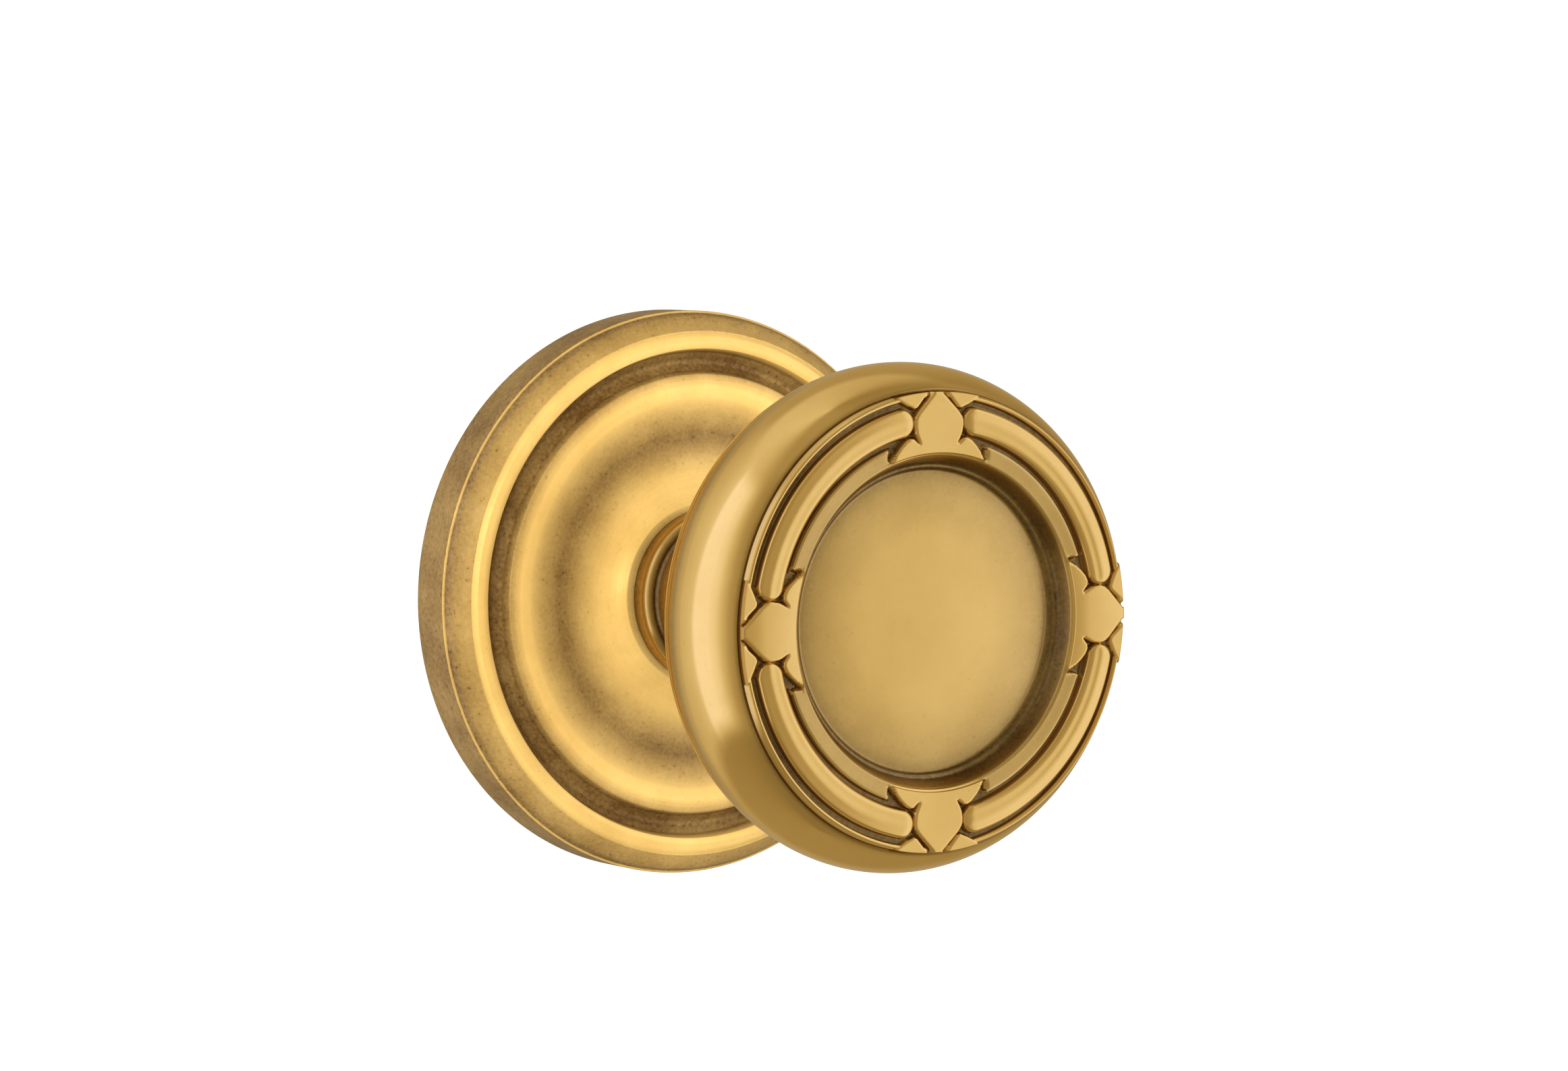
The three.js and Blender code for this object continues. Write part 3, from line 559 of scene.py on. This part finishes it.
def rose():
    """The stamped and turned rose: side wall, cove, bead, deep groove, and the face rising to the hub."""
    outside = [
        (ROSE_R, 0.0, 0),
        (ROSE_R, 5.65, 0.16),
        (ROSE_R - 0.28, 5.78, 0.08),
        (ROSE_R - 0.62, 6.55, 0.6),
        (31.55, 7.55, 1.6),
        (31.02, 8.12, 0.10),
        (30.86, 8.12, 0.06),
        (30.35, 8.62, 0.5),
        (29.50, 8.88, 0.7),
        (28.92, 8.60, 0.10),
        (28.50, 7.20, 0.5),
        (27.30, 6.45, 0.7),
        (26.35, 7.30, 0.5),
        (25.95, 8.42, 0.28),
        (23.4, 8.36, 14.0),
        (19.0, 7.60, 18.0),
        (12.8, 8.25, 6.5),
        (10.8, 9.50, 0.3),
        (9.7, 9.46, 0.15),
    ]
    inside = [
        (9.7, 8.20, 0),
        (13.0, 7.00, 0),
        (19.0, 6.30, 0),
        (24.6, 6.70, 0),
        (26.0, 5.10, 0),
        (28.4, 5.10, 0),
        (29.6, 6.90, 0),
        (30.6, 6.60, 0),
        (ROSE_R - 1.7, 4.80, 0),
        (ROSE_R - 1.3, 0.0, 0),
    ]
    piece = revolve("rose_visual", rounded(outside + inside), 256)
    hole = stand_up(bar(ROSE_HOLE, ROSE_R - 3, ROSE_R + 2), ROSE_SCREW_HEIGHT)
    carve(piece, hole)
    smooth(piece)
    paint_patina_and_shade(piece, rose_patina_and_shade)
    return finish_piece(piece, ROSE_BRASS, FIXED, "rose")


def rose_patina_and_shade(r, h, angle):
    """Brown patina in the groove and the fine creases, a soft brown ring half way in that is partly patina
    and partly painted shade, levels across the bead and land that also hold painted shade, and painted shade
    on the side wall.
    """
    stops = [
        (0.0, 0.50),
        (0.2, 0.30),
        (0.3, 0.95),
        (0.5, 0.85),
        (0.8, 0.74),
        (2.1, 0.62),
        (2.3, 0.62),
        (2.5, 0.35),
        (2.75, 0.10),
        (3.15, 0.26),
        (3.75, 0.24),
        (4.1, 0.06),
        (4.4, 0.08),
        (4.7, 0.80),
        (5.6, 0.89),
        (7.1, 0.90),
        (7.5, 0.62),
        (8.0, 0.36),
        (8.7, 0.12),
        (10.0, 0.14),
        (11.3, 0.46),
        (12.6, 0.62),
        (14.2, 0.82),
        (15.3, 0.78),
        (16.6, 0.62),
        (18.0, 0.36),
        (19.4, 0.22),
        (22.4, 0.20),
        (22.8, 0.45),
    ]
    creases = np.interp(ROSE_R - r, *zip(*stops, strict=True))
    # Painted shade: the side wall gets an even 0.84 because it faces away from the light.
    return np.where(h < 5.62, 0.84, creases)


# ------------------------------------------------------------------ the knob's shell and neck

KNOB_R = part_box("knob_shell")[1].x / MM
EQUATOR = 49.6
BACK_ARC = 11.6
FRONT_ARC, FRONT_RISE = 8.0, 9.0  # the front shoulder's half width and rise
MOUTH_R = 25.5
LIP_R = 25.75
HUB_R = 9.3
HUB_H = 31.9
HUB_BORE = 7.75
CAVITY_R = HUB_R - 0.5  # the cavity's radius where it meets the hub
WALL = 1.3


def knob_shell():
    """The hollow body, with a rounded back and front shoulder and a crisp mouth round the face."""
    front_r, back_r = KNOB_R - FRONT_ARC, KNOB_R - BACK_ARC
    back_h = EQUATOR - BACK_ARC
    inner_h = back_h + WALL
    lip = math.degrees(math.acos((LIP_R - front_r) / FRONT_ARC))
    mouth = math.degrees(math.acos((MOUTH_R - front_r) / (FRONT_ARC - WALL)))
    lip_h = EQUATOR + FRONT_RISE * math.sin(math.radians(lip))
    outline = [
        (HUB_BORE, HUB_H),
        *sweep_curve((HUB_R, HUB_H), (HUB_R + 0.6, back_h), (back_r, back_h), 24),
        *arc(back_r, EQUATOR, BACK_ARC, -90, 0, 60)[1:],
        *arc(front_r, EQUATOR, FRONT_ARC, 0, lip, 36, FRONT_RISE)[1:],
        (LIP_R - 0.06, lip_h + 0.03),
        (MOUTH_R, lip_h - 0.06),
        *arc(front_r, EQUATOR, FRONT_ARC - WALL, mouth, 0, 12, FRONT_RISE - WALL),
        *arc(back_r, EQUATOR, BACK_ARC - WALL, 0, -90, 20)[1:],
        *sweep_curve((back_r, inner_h), (CAVITY_R, inner_h), (CAVITY_R, HUB_H + WALL), 12)[1:],
        (HUB_BORE, HUB_H + WALL),
    ]
    piece = smooth(revolve("knob_shell_visual", outline, 256))
    paint_patina_and_shade(piece, shell_patina_and_shade)
    return finish_piece(piece, KNOB_BRASS, TURNING, "knob_shell")


def shell_patina_and_shade(r, h, angle):
    """Clean in front but for a line of painted shade in the crevice at the face's edge, and brown behind:
    patina with painted shade, darkest at the hub beside the rose.
    """
    # Painted shade in the crevice between the shell's lip and the face.
    front_r = [LIP_R - 0.1, LIP_R + 0.05, LIP_R + 0.3]
    front = np.interp(r, front_r, [0.6, 0.3, 0.0])
    # Brown patina behind, with painted shade deepest at the hub beside the rose and near the rim, where it
    # dulls the rose's reflection.
    back_r = [HUB_R, HUB_R + 1.0, HUB_R + 4.0, 27.6, 28.35, KNOB_R]
    back = np.interp(r, back_r, [0.7, 0.5, 0.4, 0.42, 0.5, 0.1])
    return np.where(h > EQUATOR, front, back)


NECK_BEAD_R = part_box("knob_shank")[1].x / MM
NECK_BEAD_CENTRE, NECK_BEAD_H, NECK_BEAD_RISE = 9.2, 11.45, 1.65
NECK_BACK = 9.8
WAIST_R, CREASE_R = 8.5, 9.0
STAKE_R, STAKE_NECK_R, STAKE_H = 8.4, 7.6, 34.6  # the end that is staked over inside the shell
JOURNAL_R, JOURNAL_END = 8.2, -1.8
TAIL_R, TAIL_END = 7.5, -17.0
GROOVE_R, GROOVE_FRONT, GROOVE_BACK = 6.85, -14.2, -15.4  # for the retaining ring
SOCKET_SIDE, SOCKET_LENGTH, SOCKET_H = 8.2, 45, 27  # the square hole for the spindle
FLAT_REACH, FLAT_START, FLAT_LENGTH = 6.4, 6.5, 11.5  # the flats that carry the driver, along +Y
KNOB_SCREW_HOLE, KNOB_SCREW_HEIGHT = 2.55, 20.0


def knob_shank():
    """The neck's waist and bead, and the journal and tail behind it, bored square for the spindle."""
    waist = (WAIST_R, 20.0)
    shoulder = HUB_H - 0.1
    outline = [
        (0, STAKE_H),
        (STAKE_R, STAKE_H),
        (STAKE_R, STAKE_H - 1),
        (STAKE_NECK_R, STAKE_H - 1),
        (STAKE_NECK_R, shoulder),
        *sweep_curve((HUB_R, shoulder), (WAIST_R, 26.0), waist, 20),
        *sweep_curve(waist, (WAIST_R, 15.2), (CREASE_R, 13.35), 14)[1:],
        *arc(NECK_BEAD_CENTRE, NECK_BEAD_H, NECK_BEAD_R - NECK_BEAD_CENTRE, 90, 0, 18, NECK_BEAD_RISE),
        *arc(NECK_BEAD_R - 0.5, 10.35, 0.5, 0, -90, 8),
        (JOURNAL_R, NECK_BACK),
        (JOURNAL_R, JOURNAL_END),
        (TAIL_R, JOURNAL_END - 0.1),
        (TAIL_R, GROOVE_FRONT),
        (GROOVE_R, GROOVE_FRONT),
        (GROOVE_R, GROOVE_BACK),
        (TAIL_R, GROOVE_BACK),
        (TAIL_R, TAIL_END + 0.5),
        (TAIL_R - 0.5, TAIL_END),
        (0, TAIL_END),
    ]
    piece = revolve("knob_shank_visual", outline, 128)
    socket = block(SOCKET_SIDE, SOCKET_LENGTH, SOCKET_SIDE, (0, SOCKET_LENGTH / 2 - SOCKET_H, 0))
    flat_middle = FLAT_START + FLAT_LENGTH / 2
    flats = [
        block(4, FLAT_LENGTH, 20, (side * (FLAT_REACH + 2), flat_middle, 0))
        for side in (-1, 1)
    ]
    screw_hole = stand_up(bar(KNOB_SCREW_HOLE, 0, 14), KNOB_SCREW_HEIGHT)
    carve(piece, socket, *flats, screw_hole)
    smooth(piece)
    paint_patina_and_shade(piece, shank_patina_and_shade)
    return finish_piece(piece, KNOB_BRASS, TURNING, "knob_shank")


def shank_patina_and_shade(r, h, angle):
    """Brown patina all along the neck, with painted shade darkest on the bead's back flank and in the crease
    beside the bead, and clean on its top.
    """
    # Painted shade on the bead's back flank (h 9.8 to 11.9) and in the crease at h 13.1, over the neck's
    # brown patina.
    along = np.interp(
        h,
        [9.8, 10.4, 11.2, 11.9, 12.4, 12.8, 13.1, 13.5, 14.5, 20, 30, 31.9],
        [1.0, 1.0, 0.92, 0.55, 0.20, 0.30, 0.90, 0.8, 0.66, 0.6, 0.6, 0.8],
    )
    return np.where(h > NECK_BACK - 0.1, along, 0.25)


# ------------------------------------------------------------------ the knob's ornamented face

FACE_R = 25.44
GROUND = 56.8  # the height of the ornament's ground
RING_OUT_R, RING_OUT_TOP = 24.8, 57.4
RING_IN_R, RING_IN_TOP = 20.35, 57.45
RIM_R, RIM_TOP, RIM_WIDTH = 18.45, 57.3, 0.25
CROWN_R, CROWN_TOP, CROWN_FALL = 22.2, 57.78, 0.016
PAD_MIDDLE, PAD_HALF, PAD_TOP = 22.52, 1.6, 57.95
PAD_END = 8.5  # degrees between a motif's middle and the end of a pad
FLOOR_R, FLOOR_TOP, FLOOR_FALL = 16.6, 55.2, 0.40
GAP = 0.14  # between a spade and its neighbours
PAD_SWELL, PAD_REED = 0.28, 0.02  # how far a pad falls to its edges, and the depth of its fine reeds

# The right halves of the spade's foot and head and of the petal beside its tip, as (across, along).
SPADE_FOOT = [
    (6.5, 17.4),
    (6.15, 18.0),
    (5.7, 18.75),
    (5.15, 19.45),
    (4.5, 20.08),
    (3.85, 20.42),
    (3.3, 20.38),
    (2.65, 19.85),
]
SPADE = [
    (3.05, 20.6),
    (3.22, 21.1),
    (3.3, 21.7),
    (3.3, 22.3),
    (3.15, 22.75),
    (2.75, 23.3),
    (1.9, 24.15),
    (1.25, 24.8),
    (0.75, 25.3),
    (0.6, 25.6),
]
PETAL = [
    (5.8, 25.7),
    (5.7, 24.8),
    (4.9, 24.3),
    (4.2, 23.95),
    (3.6, 23.7),
    (3.1, 23.5),
    (2.6, 23.7),
    (0.9, 25.7),
]


def ramp(value, start, end):
    """0 before start and 1 after end, with a smooth rise between."""
    share = np.clip((value - start) / (end - start), 0, 1)
    return share * share * (3 - 2 * share)


def polygon_depth(x, y, corners):
    """How far each point lies inside a closed polygon, in millimetres, and below 0 outside."""
    corners = np.asarray(corners, float)
    nearest = np.full(x.shape, np.inf)
    inside = np.zeros(x.shape, bool)
    for (ax, ay), (bx, by) in zip(corners, np.roll(corners, -1, axis=0), strict=True):
        dx, dy = bx - ax, by - ay
        share = np.clip(((x - ax) * dx + (y - ay) * dy) / (dx * dx + dy * dy), 0, 1)
        nearest = np.minimum(nearest, np.hypot(x - ax - share * dx, y - ay - share * dy))
        if dy:
            crosses = ((ay > y) != (by > y)) & (x < ax + (y - ay) * dx / dy)
            inside ^= crosses
    return np.where(inside, nearest, -nearest)


def mirrored(half):
    """A whole outline from its right half, which starts at the bottom and ends at the top."""
    return half + [(-x, y) for x, y in reversed(half)]


def face_relief(r, angle):
    """The face's height and how dark its brown is, at each radius and angle round the axis: patina in the
    ornament's grooves, painted shade in the dish and at the face's outer edge.
    """
    folded = (angle + math.pi / 4) % (math.pi / 2) - math.pi / 4
    across, along = np.abs(r * np.sin(folded)), r * np.cos(folded)
    crown = CROWN_TOP - CROWN_FALL * (r - CROWN_R) ** 2

    # Each shape is a depth inside its outline and its top height.
    spade = polygon_depth(across, along, mirrored(SPADE_FOOT + SPADE))
    petal = np.minimum(polygon_depth(across, along, PETAL), -spade - GAP)
    parting = np.interp(r, [18.75, 18.95, 20.3], [-0.4, 0.12, 0.95])
    ring_in = np.minimum(RING_IN_R - r, -spade - parting)
    ring_out = np.minimum(r - RING_OUT_R, -spade - GAP)
    pad_angle = math.pi / 4 - np.abs(folded)
    end_angle = math.pi / 4 - math.radians(PAD_END) - PAD_HALF / PAD_MIDDLE
    beyond = np.maximum(pad_angle - end_angle, 0) * PAD_MIDDLE
    off_middle = np.hypot(beyond, r - PAD_MIDDLE)
    pad = PAD_HALF - off_middle

    swell = PAD_SWELL * np.clip(off_middle / PAD_HALF, 0, 1) ** 3
    waves = np.cos((r - PAD_MIDDLE) / PAD_HALF * math.pi * 2.4 - 0.9)
    reeds = PAD_REED * waves * ramp(pad, 0.1, 0.6)
    ring_in_top = RING_IN_TOP - 0.08 * ramp(RING_IN_R - r, 0, 1.9)
    ring_out_top = RING_OUT_TOP - 0.4 * ramp(r, RING_OUT_R + 0.35, FACE_R + 0.05)
    shapes = (
        (spade, crown),
        (petal, RING_OUT_TOP + 0.05),
        (ring_out, ring_out_top),
        (ring_in, ring_in_top),
        (pad, PAD_TOP - swell + reeds),
    )
    height = np.full_like(r, GROUND)
    raised = np.zeros_like(r)
    for depth, top in shapes:
        up = 0.88 * ramp(depth, -0.09, 0.08) + 0.12 * ramp(depth, 0.0, 0.32)
        height = np.maximum(height, GROUND + (top - GROUND) * up)
        raised = np.maximum(raised, ramp(depth, -0.16, 0.12))

    # The dish: its wall falls from the rim in two steps to a floor that rises gently to the middle.
    floor = FLOOR_TOP - FLOOR_FALL * (r / FLOOR_R) ** 2
    floor_edge = FLOOR_TOP - FLOOR_FALL
    wall_r = [FLOOR_R, 16.85, 17.0, 17.35, 17.5, 17.65, 18.1, 18.28, 18.38, RIM_R]
    wall_h = [floor_edge, floor_edge + 0.12, 55.3, 55.4, 55.5, 55.75, 56.6, 56.95, 57.09, RIM_TOP]
    dish = np.where(r < FLOOR_R, floor, np.interp(r, wall_r, wall_h))
    rim = np.minimum(height, RIM_TOP + 0.5 * (r - RIM_R))
    height = np.where(r < RIM_R, dish, np.where(r < RIM_R + RIM_WIDTH, rim, height))

    recess = 0.86 * (1 - raised) + 0.32 * ramp(ring_in, 0, 0.2)
    # Painted shade in the dish: the floor darkens towards the wall, as a painted reflection of the dark wall,
    # and the wall itself is brown patina with painted shade.
    wall = np.interp(
        r,
        [9.0, 14.0, 16.0, FLOOR_R, 16.9, 17.05, 17.35, 17.5, 17.75, 18.15, 18.35, 18.5],
        [0.03, 0.26, 0.42, 0.60, 0.92, 0.84, 0.78, 0.94, 0.88, 0.80, 0.5, 0.0],
    )
    dark = np.where(r < RIM_R + 0.05, wall, recess)
    # Painted shade in the crevice at the face's outer edge.
    return height, np.maximum(dark, 0.3 * ramp(r, FACE_R - 0.10, FACE_R))


def knob_face():
    """The pressed face as a fine polar grid, closed behind by its back and skirt."""
    dish = [*np.linspace(0, 16.4, 15), *np.linspace(16.6, RIM_R, 14)]
    front = np.array([*dish, *np.linspace(RIM_R + 0.08, FACE_R, 84)])
    # The grid is finest across the motifs, at the middle of each quarter turn.
    motif, quarter = math.radians(17), math.pi / 2
    quarter_turn = [*np.linspace(-motif, motif, 126, endpoint=False)]
    quarter_turn += [*np.linspace(motif, quarter - motif, 72, endpoint=False)]
    angle = np.concatenate([np.array(quarter_turn) + i * quarter for i in range(4)])
    segments = len(angle)
    r, turn = np.meshgrid(front, angle, indexing="ij")
    height, dark = face_relief(r, turn)
    skirt = [(FACE_R, 51.6), (FACE_R - 1.0, 51.6), (FACE_R - 1.0, 53.8), (RIM_R, 53.2), (0.0, 53.2)]
    back_r = np.repeat([[p[0]] for p in skirt], segments, axis=1)
    back_h = np.repeat([[p[1]] for p in skirt], segments, axis=1)
    all_r = np.concatenate([r, back_r])
    all_h = np.concatenate([height, back_h])
    points = np.stack([all_r * np.cos(angle), -all_h, all_r * np.sin(angle)], axis=-1).reshape(-1, 3) * MM
    faces = []
    for i in range(len(all_r) - 1):
        a, b = i * segments, (i + 1) * segments
        faces += [(a + j, a + (j + 1) % segments, b + (j + 1) % segments, b + j) for j in range(segments)]
    piece = new_object("knob_face_visual", points, faces)
    smooth(piece, 50)
    paint_patina_and_shade(piece, face_patina_and_shade)
    return finish_piece(piece, KNOB_BRASS, TURNING, "knob_face")


def face_patina_and_shade(r, h, angle):
    # The front takes the patina and painted shade from face_relief; the hidden back is an even 0.4.
    return np.where(h > 54.2, face_relief(r, angle)[1], 0.4)


# ------------------------------------------------------------------ the hardware behind the rose

BOLTS = ("through_bolt_upper", "through_bolt_lower")
RIVETS = ("cassette_rivet_right", "cassette_rivet_left")
BOLT_HOLE, RIVET_HOLE = 2.7, 1.3
BOLT_HEAD_R, BOLT_SHAFT_R, BOLT_SEAT = 4.5, 2.4, 2.3
BOLT_EDGE, BOLT_POINT = 0.15, 0.6  # the bevels of the bolt head's edge and of its tip
DOME_R, DOME_END = 5.6, 37  # the bolt head's dome, and the angle at which its rim starts
RECESS = (4.95, 0.9, 1.3)  # the length, width and depth of the cross recess
THREAD_PITCH, THREAD_DEPTH, THREAD_START, THREAD_FADE = 0.8, 0.42, -9.0, 1.2
RIVET_R, RIVET_HEAD_R, RIVET_HEAD = 1.2, 2.1, 0.9
PLATE_BORE, PLATE_THICKNESS, FLANGE_WALL = 9.2, 1.5, 1.2
PLATE_BEAD = ((24.9, 0.0), (25.7, 0.5), (27.3, 0.5), (28.1, 0.0))  # the pressed ring: radius and rise
COVER_BORE = 7.9
CORNER_SHARE = 1.325  # the spindle's reach across its turned corners, as a share of its half width
SPINDLE_BEVEL = 0.5
EDGE_WIDTH, EDGE_ANGLE = 0.12, 35  # the rounding of a CAD solid's edges, and the sharpness it starts at
FLAT_ANGLE = 1  # degrees between faces that count as one flat face
THIN_NODES = ("return_spring", "wave_washer")  # too thin to round
CAD_FINISHES = {
    "nylon": NYLON,
    "black_steel": BLACK_STEEL,
    "zinc_steel": ZINC_STEEL,
    "yellow_zinc_steel": YELLOW_ZINC,
    "cast_zinc": CAST_ZINC,
    "spring_steel": SPRING_STEEL,
    "bronze": BRONZE,
}


def middle(node):
    """The middle of a CAD node's box, as (x, z) in millimetres."""
    low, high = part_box(node)
    return (low.x + high.x) / 2 / MM, (low.z + high.z) / 2 / MM


def ends(node):
    """The heights of the back and front ends of a CAD node, in millimetres."""
    low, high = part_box(node)
    return -high.y / MM, -low.y / MM


def holes(nodes, radius, low, high):
    """Cutters for the holes that fasteners pass through."""
    return [bar(radius, low, high, *middle(node)) for node in nodes]


def through_bolt(node):
    """A machine screw with a domed head, a cross recess and a rolled right-hand thread."""
    tip, top = ends(node)
    x, z = middle(node)

    def thread(r, h, angle):
        # The groove's sides slope between a flat crest and a flat root.
        turn = (h / THREAD_PITCH - angle / (2 * math.pi)) % 1
        groove = np.clip(1.4 * np.abs(2 * turn - 1) - 0.2, 0, 1)
        fade = np.clip((THREAD_START - h) / THREAD_FADE, 0, 1) * np.clip((h - tip) / THREAD_FADE, 0, 1)
        return r - THREAD_DEPTH * groove * fade

    outline = [
        (0, top),
        *arc(0, top - DOME_R, DOME_R, 90, DOME_END, 12)[1:],
        (BOLT_HEAD_R, BOLT_SEAT + BOLT_EDGE),
        (BOLT_HEAD_R - BOLT_EDGE, BOLT_SEAT),
        (BOLT_SHAFT_R, BOLT_SEAT),
        *[(BOLT_SHAFT_R, h) for h in np.arange(THREAD_START, tip + BOLT_POINT, -THREAD_PITCH / 8)],
        (BOLT_SHAFT_R - BOLT_POINT, tip),
        (0, tip),
    ]
    piece = shift(revolve(node + "_visual", outline, 30, thread), x, z)
    length, width, depth = RECESS
    slots = [block(length, 2 * depth, width, (x, -top, z)), block(width, 2 * depth, length, (x, -top, z))]
    smooth(carve(piece, *slots), 40)
    return finish_piece(piece, YELLOW_ZINC, FIXED, node)


def mounting_plate():
    """The steel pan that the rose clips over, with a pressed stiffening ring."""
    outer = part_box("mounting_plate")[1].x / MM
    front = ends("mounting_plate")[1]
    outline = [
        (PLATE_BORE, 0.0, 0.15),
        *[(r, rise, 0.5) for r, rise in PLATE_BEAD],
        (outer, 0.0, 1.6),
        (outer, front, 0.3),
        (outer - FLANGE_WALL, front, 0.3),
        (outer - FLANGE_WALL, PLATE_THICKNESS, 0.6),
        *[(r, PLATE_THICKNESS + rise, 0.5) for r, rise in reversed(PLATE_BEAD)],
        (PLATE_BORE, PLATE_THICKNESS, 0.15),
    ]
    piece = revolve("mounting_plate_visual", rounded(outline, 0.15), 160)
    beyond = PLATE_THICKNESS + 1
    carve(piece, *holes(BOLTS, BOLT_HOLE, -1, beyond), *holes(RIVETS, RIVET_HOLE, -1, beyond))
    carve(piece, stand_up(bar(ROSE_HOLE, outer - 3, outer + 2), ROSE_SCREW_HEIGHT))
    return finish_piece(smooth(piece), ZINC_STEEL, FIXED, "mounting_plate")


def cassette_cover():
    """The pressed cover that closes the spring's housing."""
    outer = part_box("cassette_cover")[1].x / MM
    back, front = ends("cassette_cover")
    corners = [(COVER_BORE, back, 0.2), (outer, back, 0.5), (outer, front, 0.1), (COVER_BORE, front, 0.1)]
    piece = revolve("cassette_cover_visual", rounded(corners, 0.08), 128)
    carve(piece, *holes(RIVETS, RIVET_HOLE, back - 1, front + 1))
    return finish_piece(smooth(piece), ZINC_STEEL, FIXED, "cassette_cover")


def cassette_rivet(node):
    """A rivet with a domed head at each end."""
    back, front = ends(node)
    front_head = arc(0, front - RIVET_HEAD, RIVET_HEAD_R, 90, 0, 10, RIVET_HEAD)[1:]
    back_head = arc(0, back + RIVET_HEAD, RIVET_HEAD_R, 0, -90, 10, RIVET_HEAD)[:-1]
    neck = [(RIVET_R, front - RIVET_HEAD), (RIVET_R, back + RIVET_HEAD)]
    outline = [(0, front), *front_head, *neck, *back_head, (0, back)]
    piece = shift(revolve(node + "_visual", outline, 32), *middle(node))
    return finish_piece(smooth(piece), ZINC_STEEL, FIXED, node)


def spindle():
    """The square bar that works the latch, with turned corners and bevelled ends."""
    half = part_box("spindle")[1].x / MM
    back, front = ends("spindle")

    def square(r, h, angle):
        across = np.maximum(np.abs(np.cos(angle)), np.abs(np.sin(angle)))
        return r * np.minimum(1 / across, CORNER_SHARE)

    inset = half - SPINDLE_BEVEL
    outline = [
        (0, front),
        (inset, front),
        (half, front - SPINDLE_BEVEL),
        (half, back + SPINDLE_BEVEL),
        (inset, back),
        (0, back),
    ]
    piece = revolve("spindle_visual", outline, 120, square)
    return finish_piece(smooth(piece, 15), ZINC_STEEL, TURNING, "spindle")


def round_edges(node):
    """Merges a CAD node's flat faces and rounds its edges. Its own vertices stay as they are."""
    merge = node.modifiers.new("merge_flats", "DECIMATE")
    merge.decimate_type = "DISSOLVE"
    merge.angle_limit = math.radians(FLAT_ANGLE)
    bevel = node.modifiers.new("round_edges", "BEVEL")
    bevel.width = EDGE_WIDTH * MM
    bevel.segments = 2
    bevel.limit_method = "ANGLE"
    bevel.angle_limit = math.radians(EDGE_ANGLE)
    bevel.harden_normals = True
    node.data.polygons.foreach_set("use_smooth", [True] * len(node.data.polygons))


# ------------------------------------------------------------------ assembly

add_camera()
add_studio()
add_floor()
add_lights()

rose()
knob_shell()
knob_shank()
knob_face()
mounting_plate()
cassette_cover()
spindle()
for bolt in BOLTS:
    through_bolt(bolt)
for rivet in RIVETS:
    cassette_rivet(rivet)

for name, slot in SLOTS.items():
    if name in rebuilt:
        continue
    node = frame["nodes"][name]
    node.data.materials.clear()
    node.data.materials.append(CAD_FINISHES[slot])
    if name in THIN_NODES:
        smooth(node, 50)
    else:
        round_edges(node)

scene = bpy.context.scene
scene.view_settings.view_transform = "Standard"
